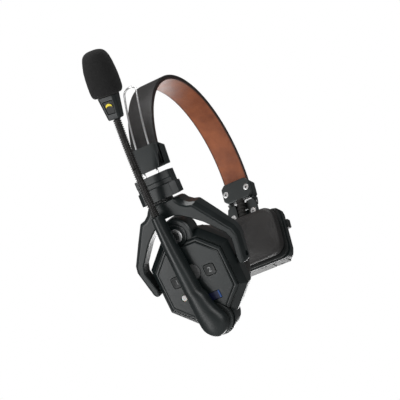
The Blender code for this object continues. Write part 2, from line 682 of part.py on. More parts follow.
side_top, side_end = YOKE_FACE_TOP - YOKE_CHAMFER_DEPTH, YOKE_FACE_END - YOKE_CHAMFER_DEPTH
yoke_rings = [yoke_ring(YOKE_FACE_TOP, YOKE_FACE_END, 0.0),
              yoke_ring(side_top, side_end, YOKE_CHAMFER),
              yoke_ring(YOKE_BACK_TOP, YOKE_BACK_END, YOKE_CHAMFER)]
yoke_frame = finish("yoke_frame", loft(yoke_rings), CUP, yoke, "black_plastic")
bevel(yoke_frame, 0.7)
cut(yoke_frame, upright(SWIVEL_PIN_RADIUS + GAP, PIN_FOOT - GAP, YOKE_END + 2.0), SWIVEL)
finish("swivel_pin", upright(SWIVEL_PIN_RADIUS, PIN_FOOT, PIN_TOP), SWIVEL, yoke, "steel")

PIN_START = CUP_HALF_WIDTH - CUP_WALL - 0.4
PIN_END = arm_outer - 0.3
for side, name in ((1, "tilt_pin_front"), (-1, "tilt_pin_rear")):
    ends = sorted((side * PIN_START, side * PIN_END))
    finish(name, cross_pin(TILT_PIN_RADIUS, TILT_DEPTH, TILT_HEIGHT, *ends), CUP, yoke, "dark_metal")
    ends = sorted((side * (YOKE_ARM_INNER - 0.9), side * (arm_outer + 6.1)))
    cut(yoke_frame, cross_pin(TILT_PIN_RADIUS + GAP, TILT_DEPTH, TILT_HEIGHT, *ends), CUP)


# ---- ear cup shells ---------------------------------------------------------------------------------

def cup_ring(share, depth):
    return [(depth, y, z) for y, z in octagon(share)]


wall_share = 1.0 - CUP_WALL / CUP_HALF_WIDTH
STEP_SHARE = 0.82            # outer edge of the flat ring around the faceplate
RECESS_SHARE = 0.785
LEDGE_SHARE = 0.735
faceplate_back = FACEPLATE_TOP - FACEPLATE_THICKNESS
ledge = faceplate_back - GAP
front_rings = [cup_ring(1.0, CUP_RIM), cup_ring(1.0, CUP_SHOULDER),
               cup_ring(STEP_SHARE, CUP_FACE), cup_ring(RECESS_SHARE, CUP_FACE),
               cup_ring(RECESS_SHARE, ledge), cup_ring(LEDGE_SHARE, ledge),
               cup_ring(LEDGE_SHARE, ledge - 1.4), cup_ring(wall_share, CUP_SHOULDER - 1.4),
               cup_ring(wall_share, CUP_RIM)]
front_shell = finish("cup_front_shell", loft(front_rings, closed=True), CUP, cup, "black_plastic")
pivot_y, pivot_z = BOOM_PIVOT
boss_back = CUP_RIM + 0.5
join(front_shell, turned([(boss_back, DIAL_BOSS_RADIUS), (DIAL_BOSS_FACE - 1.0, DIAL_BOSS_RADIUS),
                          (DIAL_BOSS_FACE, DIAL_BOSS_RADIUS - 1.2)], 0.0, DIAL_HEIGHT), CUP)
join(front_shell, turned([(boss_back, BOOM_HUB_RADIUS), (BOOM_HUB_FACE, BOOM_HUB_RADIUS)],
                         pivot_y, pivot_z), CUP)
cut(front_shell, turned([(DIAL_FLOOR, DIAL_RADIUS + GAP), (CUP_FACE + 3.0, DIAL_RADIUS + GAP)],
                        0.0, DIAL_HEIGHT), CUP)
RECESS_RADIUS = BOOM_DISC_RADIUS + GAP
boom_recess = [(BOOM_HUB_FACE - 0.5, RECESS_RADIUS), (CUP_FACE + 6.0, RECESS_RADIUS)]
cut(front_shell, turned(boom_recess, pivot_y, pivot_z), CUP)
pin_hole = BOOM_PIN_RADIUS + GAP
cut(front_shell, turned([(CUP_RIM - 2.0, pin_hole), (BOOM_HUB_FACE + 2.0, pin_hole)],
                        pivot_y, pivot_z, 24), CUP)
for side in (-1, 1):
    ends = sorted((side * (PIN_START - 2.6), side * (CUP_HALF_WIDTH + 2.5)))
    cut(front_shell, cross_pin(TILT_PIN_RADIUS + GAP, TILT_DEPTH, TILT_HEIGHT, *ends), CUP)

back_depths = (CUP_BACK, CUP_RIM - GAP)
back_shell = finish("cup_back_shell", prism(octagon(0.985), *back_depths), CUP, cup, "black_plastic")
lobe_depths = (CUP_BACK + 0.4, CUP_RIM - GAP - 0.4)
join(back_shell, prism(circle(DIAL_BOSS_RADIUS - 0.5, 0.0, DIAL_HEIGHT), *lobe_depths), CUP)
join(back_shell, prism(circle(BOOM_HUB_RADIUS - 0.5, pivot_y, pivot_z), *lobe_depths), CUP)
DRIVER_HOLE = DRIVER_RADIUS + GAP
cut(back_shell, prism(circle(DRIVER_HOLE, 0.0, CUP_CENTRE), CUP_BACK - 2.0, CUP_RIM + 2.0), CUP)

PLATE_SHARE = RECESS_SHARE - GAP / CUP_HALF_WIDTH
plate_rings = [cup_ring(PLATE_SHARE, faceplate_back), cup_ring(PLATE_SHARE, FACEPLATE_TOP - 0.6),
               cup_ring(PLATE_SHARE - 0.02, FACEPLATE_TOP)]
faceplate = finish("cup_faceplate", loft(plate_rings), CUP, cup, "black_plastic")


def key_outline(spot, grow=0.0):
    """A square button's outline, or with grow the hole around it."""
    half = BUTTON_HALF + grow
    square = rounded_box(half, -half, half, BUTTON_CORNER + grow, 4)
    return [(spot[0] + y, spot[1] + z) for y, z in square]


hole_outlines = [circle(TALK_BUTTON_RADIUS + GAP, *TALK_BUTTON, 24), circle(LED_RADIUS + GAP, *LED, 24),
                 key_outline(BUTTON_ONE, GAP), key_outline(BUTTON_TWO, GAP)]
through = [prism(outline, faceplate_back - 1.0, FACEPLATE_TOP + 1.0) for outline in hole_outlines]
cut(faceplate, merge(*through), CUP)
cut(faceplate, turned(boom_recess, pivot_y, pivot_z), CUP)


def label_block(near, far, room=0.0):
    """The channel label, or with room the pocket that it is stuck in."""
    half_width, half_height = LABEL_WIDTH / 2 + room, LABEL_HEIGHT / 2 + room
    y, z = LABEL
    return block(near, far, y - half_width, y + half_width, z - half_height, z + half_height)


cut(faceplate, label_block(FACEPLATE_TOP - 0.8, FACEPLATE_TOP + 1.0, GAP), CUP)
finish("channel_label", label_block(FACEPLATE_TOP - 0.5, FACEPLATE_TOP + 0.1), CUP, cup, "blue")
lamp_profile = [(faceplate_back, LED_RADIUS), (FACEPLATE_TOP, LED_RADIUS),
                (FACEPLATE_TOP + 0.3, LED_RADIUS - 0.5)]
finish("status_lamp", turned(lamp_profile, *LED, 20), CUP, cup, "lamp_white")


# ---- buttons and dial ---------------------------------------------------------------------------------

BUTTON_BACK = faceplate_back - 1.3
talk_top = FACEPLATE_TOP + 0.5
talk_profile = [(BUTTON_BACK, TALK_BUTTON_RADIUS), (talk_top - 0.5, TALK_BUTTON_RADIUS),
                (talk_top, TALK_BUTTON_RADIUS - 0.5)]
finish("talk_button", turned(talk_profile, *TALK_BUTTON, 24), CUP, talk, "grey_plastic")
key_top = FACEPLATE_TOP + 0.2
for name, spot, owner in (("button_one", BUTTON_ONE, first), ("button_two", BUTTON_TWO, second)):
    key_rings = [[(depth, y, z) for y, z in key_outline(spot, grow)]
                 for depth, grow in ((BUTTON_BACK, 0.0), (key_top - 0.4, 0.0), (key_top, -0.4))]
    finish(name, loft(key_rings), CUP, owner, "dark_plastic")

dial_top = DIAL_BOSS_FACE + 0.6
dial_profile = [(DIAL_FLOOR + GAP, DIAL_RADIUS), (DIAL_BOSS_FACE, DIAL_RADIUS),
                (dial_top, DIAL_RADIUS - 0.8)]
finish("volume_dial", turned(dial_profile, 0.0, DIAL_HEIGHT), CUP, dial, "black_plastic")
ring_back = dial_top + GAP
ring_profile = [(ring_back, DIAL_RING_RADIUS), (ring_back + 0.7, DIAL_RING_RADIUS),
                (ring_back + 0.7, DIAL_RING_BORE), (ring_back, DIAL_RING_BORE)]
finish("dial_ring", turned(ring_profile, 0.0, DIAL_HEIGHT, closed=True), CUP, dial, "steel")
cap_radius = DIAL_RING_BORE - GAP
cap_profile = [(ring_back, cap_radius), (ring_back + 0.8, cap_radius),
               (ring_back + 1.1, cap_radius - 0.6)]
finish("dial_cap", turned(cap_profile, 0.0, DIAL_HEIGHT, 20), CUP, dial, "dark_plastic")


# ---- inside the ear cup -------------------------------------------------------------------------------

board_half = CUP_HALF_WIDTH * LEDGE_SHARE - 4.1
membrane_half = board_half - 1.0
board_back = CUP_FACE - 9.2
membrane_back = board_back + 3.0
finish("keypad_membrane", block(membrane_back, membrane_back + 2.0, -membrane_half, membrane_half,
                                CUP_CENTRE - 13.0, CUP_CENTRE + 12.5), CUP, cup, "rubber")
finish("circuit_board", block(board_back, board_back + 1.5, -board_half, board_half,
                              CUP_CENTRE - 16.5, CUP_CENTRE + 17.0), CUP, cup, "circuit_green")
MAGNET_RADIUS = 11.0
driver_profile = [(CUP_BACK + 0.4, DRIVER_RADIUS), (CUP_BACK + 4.0, DRIVER_RADIUS),
                  (CUP_BACK + 5.6, MAGNET_RADIUS), (board_back - 0.8, MAGNET_RADIUS)]
finish("speaker_driver", turned(driver_profile, 0.0, CUP_CENTRE), CUP, cup, "dark_metal")

GRILLE_RADIUS = CUSHION_HOLE - GAP - 0.3
GRILLE_HOLE_RADIUS = 1.3
grille_back, grille_front = CUP_BACK - GAP - 1.2, CUP_BACK - GAP
grille = finish("driver_grille", prism(circle(GRILLE_RADIUS, 0.0, CUP_CENTRE), grille_back, grille_front),
                CUP, cup, "dark_plastic")
holes = []
for ring_radius, count in ((0.0, 1), (5.2, 6), (10.4, 12)):
    for spot in circle(ring_radius, 0.0, CUP_CENTRE, count):
        outline = circle(GRILLE_HOLE_RADIUS, *spot, 8)
        holes.append(prism(outline, grille_back - 1.0, grille_front + 1.0))
cut(grille, merge(*holes), CUP)

cushion_back = CUP_BACK - GAP
roll = (CUSHION_RADIUS - CUSHION_HOLE) / 2
ring_middle = (CUSHION_RADIUS + CUSHION_HOLE) / 2
roll_depth = (cushion_back - CUSHION_FACE) / 2
roll_centre = (cushion_back + CUSHION_FACE) / 2
ROLL_POINTS = 12
SQUARENESS = 0.6             # 1 is a plain ellipse, less is squarer


def squared(share):
    """A sine or cosine pushed outward, so that the roll reaches its full width and depth."""
    fullest = cos(pi / ROLL_POINTS)
    return copysign((abs(share) / fullest) ** SQUARENESS, share)


cushion_profile = []
for index in range(ROLL_POINTS):
    turn = 2 * pi * (index + 0.5) / ROLL_POINTS
    cushion_profile.append((roll_centre + roll_depth * squared(sin(turn)),
                            ring_middle + roll * squared(cos(turn))))
finish("ear_cushion", turned(cushion_profile, 0.0, CUP_CENTRE, 36, closed=True), CUP, cup, "black_leather")


# ---- boom arm -------------------------------------------------------------------------------------------

DISC_FACE = BOOM_BACK - GAP
disc_profile = [(BOOM_HUB_FACE, BOOM_DISC_RADIUS), (DISC_FACE, BOOM_DISC_RADIUS),
                (DISC_FACE, pin_hole), (BOOM_HUB_FACE, pin_hole)]
finish("boom_friction_disc", turned(disc_profile, pivot_y, pivot_z, closed=True), CUP, cup, "dark_metal")
pin_profile = [(CUP_RIM + GAP, BOOM_PIN_RADIUS), (DISC_FACE, BOOM_PIN_RADIUS)]
finish("boom_pivot_pin", turned(pin_profile, pivot_y, pivot_z, 24), CUP, boom, "steel")

# (height along the arm, edge towards the back, edge towards the front)
ARM_STATIONS = [(3.0, -12.3, 10.1), (6.0, -12.2, 8.7), (9.0, -12.0, 7.4), (13.0, -11.8, 6.2),
                (23.0, -11.2, 5.3), (26.5, -11.0, 3.2), (42.0, -10.1, 3.1), (62.0, -9.0, 2.8),
                (BOOM_LENGTH - 1.0, -5.9, 3.5), (BOOM_LENGTH, -5.4, 3.0)]


def arm_ring(height, back, front, thin=1.0):
    """A cross-section of the arm: flat towards the cup and domed outward."""
    middle, half = (back + front) / 2, (front - back) / 2
    base, rise = BOOM_BACK, (BOOM_FACE - BOOM_BACK) * thin
    side = base + rise * 0.35
    points = [(base, middle - half * 0.80), (base, middle + half * 0.80),
              (base + rise * 0.16, middle + half * 0.97), (side, middle + half)]
    for step in range(1, 8):
        turn = pi * step / 8
        points.append((side + (rise * 0.65) * sin(turn) ** 0.8, middle + half * cos(turn)))
    points += [(side, middle - half), (base + rise * 0.16, middle - half * 0.97)]
    return [(x, y, height) for x, y in points]


arm_rings = []
for degree in (80, 66, 50, 32, 14, 0):
    reach = BOOM_END_RADIUS * cos(radians(degree))
    thin = 1.0 - 0.35 * (degree / 80) ** 3
    arm_rings.append(arm_ring(-BOOM_END_RADIUS * sin(radians(degree)), BOOM_END_OFFSET - reach,
                              BOOM_END_OFFSET + reach, thin))
arm_rings += [arm_ring(*station) for station in ARM_STATIONS]
finish("boom_arm", loft(arm_rings), BOOM, boom, "black_plastic")


# ---- gooseneck and microphone ---------------------------------------------------------------------------

def neck_ring(distance, radius, count=12):
    """A ring of the neck, square to its centre line."""
    spot, lean = gooseneck_point(distance)
    across = Vector((0.0, cos(radians(lean)), -sin(radians(lean))))
    outward = Vector((1.0, 0.0, 0.0))
    turns = [2 * pi * index / count for index in range(count)]
    return [spot + radius * (across * cos(turn) + outward * sin(turn)) for turn in turns]


def neck_length(start, end, ball):
    """A length of the neck; ball says whether it ends in a bend's ball."""
    stop = end - BEND_HALF_GAP if ball else end
    rings = [neck_ring(start + (stop - start) * step / 5, GOOSENECK_RADIUS) for step in range(6)]
    if ball:
        stem = BEND_BALL_RADIUS * 0.6
        join_angle = asin(0.6)
        rings.append(neck_ring(stop + 0.05, stem))
        for step in range(7):
            turn = pi - join_angle - (pi - join_angle - 0.25) * step / 6
            rings.append(neck_ring(end + BEND_BALL_RADIUS * cos(turn), BEND_BALL_RADIUS * sin(turn)))
    return loft(rings)


finish("gooseneck_lower", neck_length(0.0, BEND_LOW, True), BOOM, boom, "rubber")
finish("gooseneck_middle", neck_length(BEND_LOW + BEND_HALF_GAP, BEND_HIGH, True), BOOM, neck, "rubber")
finish("gooseneck_upper", neck_length(BEND_HIGH + BEND_HALF_GAP, GOOSENECK_LENGTH, False),
       BOOM, mic, "rubber")


def mic_ring(height, half_depth, half_width, corner):
    """An eight-sided cross-section of the microphone's housing."""
    outline = [(half_depth, half_width - corner), (half_depth - corner, half_width)]
    outline += [(-x, y) for x, y in reversed(outline)]
    outline += [(-x, -y) for x, y in outline]
    return [(x, y, height) for x, y in outline]


mic_top = GAP + MIC_HOUSING_LENGTH
FOOT_DEPTH, TOP_DEPTH = 4.8, 6.4         # half the housing's depth at its foot and at its top
mic_rings = [mic_ring(GAP, FOOT_DEPTH - 0.5, 4.9, 1.4), mic_ring(GAP + 1.0, FOOT_DEPTH, 5.3, 1.6),
             mic_ring(mic_top, TOP_DEPTH, 7.3, 2.2)]
mic_housing = finish("mic_housing", loft(mic_rings), MIC, mic, "black_plastic")
WINDOW_FOOT, WINDOW_TOP = 5.2, 14.2
face_lean = (TOP_DEPTH - FOOT_DEPTH) / (MIC_HOUSING_LENGTH - 1.0)


def on_mic_face(outline, back, front):
    """A thin piece on the housing's leaning outer face."""
    return loft([[(FOOT_DEPTH + face_lean * (z - 1.0) + depth, y, z) for y, z in outline]
                 for depth in (back, front)])


def window_prism(grow, back, front):
    """The sunken window on the housing's outer face."""
    low, high = WINDOW_FOOT - grow, WINDOW_TOP + grow
    return on_mic_face([(-2.8 - grow, low), (2.8 + grow, low), (3.6 + grow, high), (-3.6 - grow, high)],
                       back, front)


cut(mic_housing, window_prism(GAP, -1.2, 1.5), MIC)
finish("mic_window", window_prism(0.0, -0.9, -0.45), MIC, mic, "dark_plastic")
crescent = []
for step in range(7):
    turn = radians(20 + 140 * step / 6)
    crescent.append((2.6 * cos(turn), 10.2 + 2.6 * sin(turn)))
for step in range(7):
    turn = radians(160 - 140 * step / 6)
    crescent.append((2.6 * cos(turn), 9.5 + 1.5 * sin(turn)))
finish("mic_mark", on_mic_face(crescent, -0.15, 0.15), MIC, mic, "yellow")


def stood(profile, count=28):
    """A profile of (height, radius) pairs, turned about the microphone's long axis."""
    return loft([[(x, y, height) for x, y in circle(radius, count=count)] for height, radius in profile])


foam_low = mic_top + GAP
foam_bore = CAPSULE_RADIUS + GAP
# (share of the height, share of the radius)
foam_share = [(0.0, 0.84), (0.03, 0.93), (0.10, 0.99), (0.22, 1.0), (0.42, 1.0), (0.60, 0.95),
              (0.74, 0.88), (0.86, 0.80), (0.93, 0.69), (0.98, 0.48), (1.0, 0.20)]
foam_profile = [(foam_low + FOAM_LENGTH * share, FOAM_RADIUS * size) for share, size in foam_share]
windscreen = finish("foam_windscreen", stood(foam_profile), MIC, mic, "foam")
cut(windscreen, stood([(foam_low - 1.0, foam_bore), (foam_low + CAPSULE_LENGTH + GAP, foam_bore)], 24), MIC)
capsule_profile = [(foam_low, CAPSULE_RADIUS), (foam_low + CAPSULE_LENGTH - 1.0, CAPSULE_RADIUS),
                   (foam_low + CAPSULE_LENGTH, CAPSULE_RADIUS - 1.0)]
finish("mic_capsule", stood(capsule_profile, 24), MIC, mic, "steel")


# ---- clamp on the strap's right end ---------------------------------------------------------------------

def clamp_outline():
    """The clamp's face, a rectangle with cut corners."""
    wide, corner = CLAMP_HALF_WIDTH, CLAMP_CORNER
    half = [(wide - corner, CLAMP_TOP), (wide, CLAMP_TOP - corner),
            (wide, CLAMP_BOTTOM + corner), (wide - corner, CLAMP_BOTTOM)]
    return half + [(-y, z) for y, z in reversed(half)]


clamp_plate = finish("clamp_inner_plate", prism(clamp_outline(), CLAMP_PLATE_FACE, CLAMP_PLATE_BACK),
                     CLAMP, headband, "dark_metal")
bevel(clamp_plate, 0.5)
block_face = CLAMP_PLATE_BACK + GAP
clamp_block = finish("clamp_outer_block", prism(clamp_outline(), block_face, CLAMP_BLOCK_OUTER),
                     CLAMP, headband, "black_plastic")
slot_half = STRAP_WIDTH / 2 + GAP
cut(clamp_block, block(CLAMP_PLATE_BACK - 2.0, CLAMP_BLOCK_INNER, -slot_half, slot_half,
                       CLAMP_BOTTOM + 1.2, CLAMP_TOP + 2.0), CLAMP)

EAR_OUTER = CLAMP_HALF_WIDTH - 0.2
EAR_INNER = EAR_OUTER - 3.2
EAR_FACE = -0.8              # clear of the bracket's lugs as the pad tilts
ear_outline = [(block_face + 0.2, CLAMP_BOTTOM + 1.0), (5.4, CLAMP_BOTTOM + 1.0),
               (5.0, PAD_HINGE_HEIGHT + 0.8), (3.0, PAD_HINGE_HEIGHT - 3.0),
               (0.4, PAD_HINGE_HEIGHT - 3.0), (EAR_FACE, PAD_HINGE_HEIGHT - 0.4),
               (EAR_FACE, PAD_HINGE_HEIGHT + 2.2)]
for side in (-1, 1):
    ear = loft([[(x, y, z) for x, z in ear_outline] for y in sorted((side * EAR_INNER, side * EAR_OUTER))])
    join(clamp_block, ear, CLAMP)


def hinge_rod(radius, half_length, count=20):
    """A cylinder on the pad hinge's axis."""
    return cross_pin(radius, PAD_HINGE_DEPTH, PAD_HINGE_HEIGHT, -half_length, half_length, count)


HINGE_HOLE = (PAD_PIN_RADIUS + GAP, EAR_OUTER + 3.3)
cut(clamp_block, hinge_rod(*HINGE_HOLE), CLAMP)
finish("pad_hinge_pin", hinge_rod(PAD_PIN_RADIUS, EAR_OUTER), CLAMP, headband, "steel")

CLAMP_SCREW_TIP = CLAMP_PLATE_BACK - 0.4
clamp_screw_spots = [(side * CLAMP_SCREW_SPACING / 2, 0.2) for side in (-1, 1)]
fasten("clamp_screw", clamp_screw_spots, CLAMP_PLATE_FACE, CLAMP_SCREW_TIP, CLAMP, headband, [clamp_plate])


# ---- temple pad: hinge bracket, lead boot, cushion and battery housing ------------------------------------

BARREL_HALF = EAR_INNER - GAP
LUG_FACE, LUG_BACK = -4.0, -1.4
NOTCH_HALF = 5.2
LUG_FOOT = LUG_SCREW_HEIGHT - 4.3
LUG_TOP = PAD_HINGE_HEIGHT + 1.6
bracket = finish("pad_bracket", hinge_rod(PAD_HINGE_RADIUS, BARREL_HALF, 24), CLAMP, pad, "dark_metal")
lug = [(NOTCH_HALF, LUG_TOP), (10.2, LUG_TOP),
       (12.8, PAD_HINGE_HEIGHT - 0.2), (13.8, PAD_HINGE_HEIGHT - 4.0),
       (13.8, LUG_FOOT + 2.0), (12.0, LUG_FOOT), (NOTCH_HALF, LUG_FOOT)]
web_low, web_high = PAD_HINGE_HEIGHT - 4.8, PAD_HINGE_HEIGHT - 1.0
web_half = BARREL_HALF - 0.6
join(bracket, block(LUG_BACK - 0.6, PAD_HINGE_DEPTH, -web_half, web_half, web_low, web_high), CLAMP)
for side in (-1, 1):
    join(bracket, prism([(side * y, z) for y, z in lug], LUG_FACE, LUG_BACK), CLAMP)
    foot = sorted((side * (NOTCH_HALF + 0.3), side * web_half))
    join(bracket, block(LUG_FACE + 0.4, PAD_HINGE_DEPTH, *foot, web_low, web_high), CLAMP)
cut(bracket, hinge_rod(*HINGE_HOLE), CLAMP)

BOOT_RIBS = 5
BOOT_SIDE_STEP = -1.2        # across the strap, off its centre line
boot_top = CLAMP @ Vector((-6.0, BOOT_SIDE_STEP, CLAMP_BOTTOM - GAP))
boot_foot = PAD @ Vector((PAD_BASE - 0.9, BOOT_SIDE_STEP, PAD_TOP + GAP + 0.9))
boot_rings = []
boot_axis = (boot_foot - boot_top).normalized()
boot_side = Vector((0.0, 1.0, 0.0))
boot_front = boot_axis.cross(boot_side)
for index in range(BOOT_RIBS * 4 + 1):
    share = index / (BOOT_RIBS * 4)
    radius = (3.3 - 0.5 * share) if index % 4 in (1, 2) else (2.5 - 0.3 * share)
    spot = boot_top + (boot_foot - boot_top) * share
    turns = [2 * pi * step / 14 for step in range(14)]
    boot_rings.append([spot + radius * (boot_side * cos(turn) + boot_front * sin(turn)) for turn in turns])
finish("lead_boot", loft(boot_rings), WORLD, headband, "rubber")

pad_low = PAD_TOP - PAD_HEIGHT
cushion_rings = []
for depth, inset in ((PAD_BASE - GAP, 1.6), (PAD_BASE - 2.2, 0.2), (PAD_BASE - 5.0, 0.0),
                     (PAD_FACE + 3.4, 1.2), (PAD_FACE + 1.2, 3.6), (PAD_FACE, 7.0)):
    outline = rounded_box(PAD_HALF_WIDTH - inset, pad_low + inset, PAD_TOP - inset, PAD_CORNER)
    cushion_rings.append([(depth, y, z) for y, z in outline])
finish("temple_cushion", loft(cushion_rings), PAD, pad, "black_leather")

plate_outline = rounded_box(HOUSING_HALF_WIDTH - 1.0, HOUSING_BOTTOM + 0.8, HOUSING_TOP - 0.8,
                            PAD_CORNER - 1.0)
finish("pad_back_plate", prism(plate_outline, PAD_BASE, PLATE_BACK), PAD, pad, "dark_plastic")

housing_rings = []
for depth, half_width, trim in ((HOUSING_FRONT, HOUSING_HALF_WIDTH, 0.0), (-1.0, HOUSING_HALF_WIDTH, 0.0),
                                (HOUSING_BACK - 2.0, HOUSING_OUTER_HALF_WIDTH + 1.2, 0.6),
                                (HOUSING_BACK, HOUSING_OUTER_HALF_WIDTH, 2.2)):
    outline = rounded_box(half_width, HOUSING_BOTTOM + trim, HOUSING_TOP - trim, PAD_CORNER - 1.5)
    housing_rings.append([(depth, y, z) for y, z in outline])
housing = finish("battery_housing", loft(housing_rings), PAD, pad, "black_plastic")
cavity_front, cavity_back = HOUSING_FRONT + HOUSING_WALL, HOUSING_BACK - HOUSING_WALL
cavity_half = BATTERY_HALF_WIDTH + GAP
cut(housing, block(cavity_front, cavity_back, -cavity_half, cavity_half,
                   HOUSING_BOTTOM - 3.0, BATTERY_TOP + GAP), PAD)

tab_depths = (LUG_BACK + GAP, LUG_BACK + GAP + 2.4)
TAB_HALF = 12.6
tab_foot = PAD_HINGE_HEIGHT + HOUSING_TOP - 2.0
join(housing, block(*tab_depths, -TAB_HALF, TAB_HALF, tab_foot, LUG_SCREW_HEIGHT + 3.6), CLAMP)

latch_low, latch_high = LATCH_MIDDLE - LATCH_HALF_HEIGHT, LATCH_MIDDLE + LATCH_HALF_HEIGHT
LATCH_FRONT, LATCH_BACK = HOUSING_FRONT + 5.4, HOUSING_FRONT + 10.5
LATCH_TRAVEL_ROOM = 1.2
latch_inner, latch_outer = -(BATTERY_HALF_WIDTH + 3.4), -(HOUSING_HALF_WIDTH + 1.6)
latch_block = block(LATCH_FRONT, LATCH_BACK, latch_outer, latch_inner, latch_low, latch_high)
latch_piece = finish("battery_latch", latch_block, PAD, latch, "dark_plastic")
bevel(latch_piece, 0.6)
cut(housing, block(LATCH_FRONT - GAP, LATCH_BACK + GAP, latch_outer - 2.0,
                   latch_inner + GAP + LATCH_TRAVEL_ROOM, latch_low - GAP, latch_high + GAP), PAD)

lug_screw_spots = [(side * LUG_SCREW_SPACING / 2, LUG_SCREW_HEIGHT) for side in (-1, 1)]
LUG_SCREW_TIP = LUG_BACK + GAP + 1.6
fasten("bracket_screw", lug_screw_spots, LUG_FACE, LUG_SCREW_TIP, CLAMP, pad, [bracket, housing])

case_front, case_back = cavity_front + GAP, cavity_back - GAP
battery_case = finish("battery_case", block(case_front, case_back, -BATTERY_HALF_WIDTH, BATTERY_HALF_WIDTH,
                                            HOUSING_BOTTOM, BATTERY_TOP), PAD, battery, "pale_plastic")
CASE_WALL = 1.2
cell_front, cell_back = case_front + CASE_WALL, case_back - CASE_WALL
cell_half, cell_low = BATTERY_HALF_WIDTH - CASE_WALL, HOUSING_BOTTOM + 4.0
cut(battery_case, block(cell_front, cell_back, -cell_half, cell_half, cell_low, BATTERY_TOP + 2.0), PAD)
finish("battery_cell", block(cell_front + GAP, cell_back - GAP, -cell_half + GAP, cell_half - GAP,
                             cell_low + GAP, BATTERY_TOP - 0.5), PAD, battery, "grey_plastic")
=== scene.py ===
"""A single-ear wireless intercom headset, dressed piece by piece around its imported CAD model."""
from math import atan2, cos, pi, radians, sin

import bmesh
import bpy
from mathutils import Matrix, Vector


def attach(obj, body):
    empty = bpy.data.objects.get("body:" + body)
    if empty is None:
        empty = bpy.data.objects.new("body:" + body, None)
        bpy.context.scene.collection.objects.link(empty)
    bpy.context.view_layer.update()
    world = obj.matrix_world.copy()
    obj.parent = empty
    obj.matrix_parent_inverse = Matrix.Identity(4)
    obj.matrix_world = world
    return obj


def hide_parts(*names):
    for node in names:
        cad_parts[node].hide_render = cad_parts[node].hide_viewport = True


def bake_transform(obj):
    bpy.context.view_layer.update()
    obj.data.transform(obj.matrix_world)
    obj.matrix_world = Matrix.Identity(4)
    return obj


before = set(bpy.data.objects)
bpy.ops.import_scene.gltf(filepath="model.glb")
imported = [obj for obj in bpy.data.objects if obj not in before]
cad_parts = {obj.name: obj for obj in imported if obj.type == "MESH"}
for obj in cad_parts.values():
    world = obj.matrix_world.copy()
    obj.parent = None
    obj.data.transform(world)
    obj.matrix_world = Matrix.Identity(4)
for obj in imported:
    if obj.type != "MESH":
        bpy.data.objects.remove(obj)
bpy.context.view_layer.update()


# ---- Camera, studio light and floor ----
# The camera looks up at the ear cup's side, with a long lens and the headset leaning back.
# The light is a white room with one large soft box above and strips at both sides; the floor lies far below.
camera_data = bpy.data.cameras.new("camera")
camera_data.sensor_width = 36.0
camera_data.lens = 126.45
camera = bpy.data.objects.new("camera", camera_data)
bpy.context.scene.collection.objects.link(camera)
camera.matrix_world = Matrix(((0.4547, -0.1474, -0.8783, -0.9789), (-0.8505, -0.3645, -0.3791, -0.4198),
                              (-0.2642, 0.9194, -0.2911, -0.4237), (0.0, 0.0, 0.0, 1.0)))
bpy.context.scene.camera = camera


def soft_box(name, spot, aim, width, height, power):
    """A rectangular area light that faces the headset."""
    light = bpy.data.lights.new(name, "AREA")
    light.shape = "RECTANGLE"
    light.size = width
    light.size_y = height
    light.energy = power
    lamp = bpy.data.objects.new(name, light)
    bpy.context.scene.collection.objects.link(lamp)
    lamp.location = spot
    lamp.rotation_mode = "QUATERNION"
    lamp.rotation_quaternion = (Vector(aim) - Vector(spot)).to_track_quat("-Z", "Y")


headset_middle = (-0.02, 0.0, -0.11)
soft_box("key_box", (-1.1, 0.85, -0.35), headset_middle, 0.6, 1.1, 11.0)
soft_box("front_box", (-0.95, -1.0, -0.2), headset_middle, 0.35, 0.9, 4.5)
soft_box("top_box", (-0.45, -0.1, 1.2), headset_middle, 0.8, 0.8, 11.0)
soft_box("far_low_box", (1.15, 0.5, -0.35), headset_middle, 0.7, 0.7, 9.0)

room = bpy.data.worlds.new("room")
room.use_nodes = True
room_light = room.node_tree.nodes["Background"]
room_light.inputs["Color"].default_value = (1.0, 1.0, 1.0, 1.0)
room_light.inputs["Strength"].default_value = 0.14
backdrop = room.node_tree.nodes.new("ShaderNodeBackground")
backdrop.inputs["Color"].default_value = (1.0, 1.0, 1.0, 1.0)
backdrop.inputs["Strength"].default_value = 1.0
ray = room.node_tree.nodes.new("ShaderNodeLightPath")
seen_or_lit = room.node_tree.nodes.new("ShaderNodeMixShader")
room.node_tree.links.new(ray.outputs["Is Camera Ray"], seen_or_lit.inputs["Fac"])
room.node_tree.links.new(room_light.outputs["Background"], seen_or_lit.inputs[1])
room.node_tree.links.new(backdrop.outputs["Background"], seen_or_lit.inputs[2])
room_surface = room.node_tree.nodes["World Output"].inputs["Surface"]
room.node_tree.links.new(seen_or_lit.outputs["Shader"], room_surface)
bpy.context.scene.world = room
bpy.context.scene.view_settings.view_transform = "Standard"

bpy.ops.object.select_all(action="DESELECT")
bpy.ops.mesh.primitive_plane_add(size=12.0, location=(0.0, 0.0, -0.9))
floor = bpy.context.object
floor.name = "studio_floor"
floor_paint = bpy.data.materials.new("pale floor")
floor_paint.use_nodes = True
floor_paint.node_tree.nodes["Principled BSDF"].inputs["Base Color"].default_value = (0.86, 0.86, 0.86, 1.0)
floor_paint.node_tree.nodes["Principled BSDF"].inputs["Roughness"].default_value = 0.9
floor.data.materials.append(floor_paint)


# ---- Headband's outer leather ----
# A strap of black leather, 21.5 mm wide, is bent over the head; its long edges are folded and burnished.
# It is modelled as a flat end section with rounded edges, spun about the band's centre.
MM = 0.001


def node(tree, kind, **settings):
    """A shader node, with its settings and the values of its own sockets."""
    made = tree.nodes.new("ShaderNode" + kind)
    for key, value in settings.items():
        if hasattr(made, key):
            setattr(made, key, value)
        else:
            made.inputs[key.replace("_", " ")].default_value = value
    return made


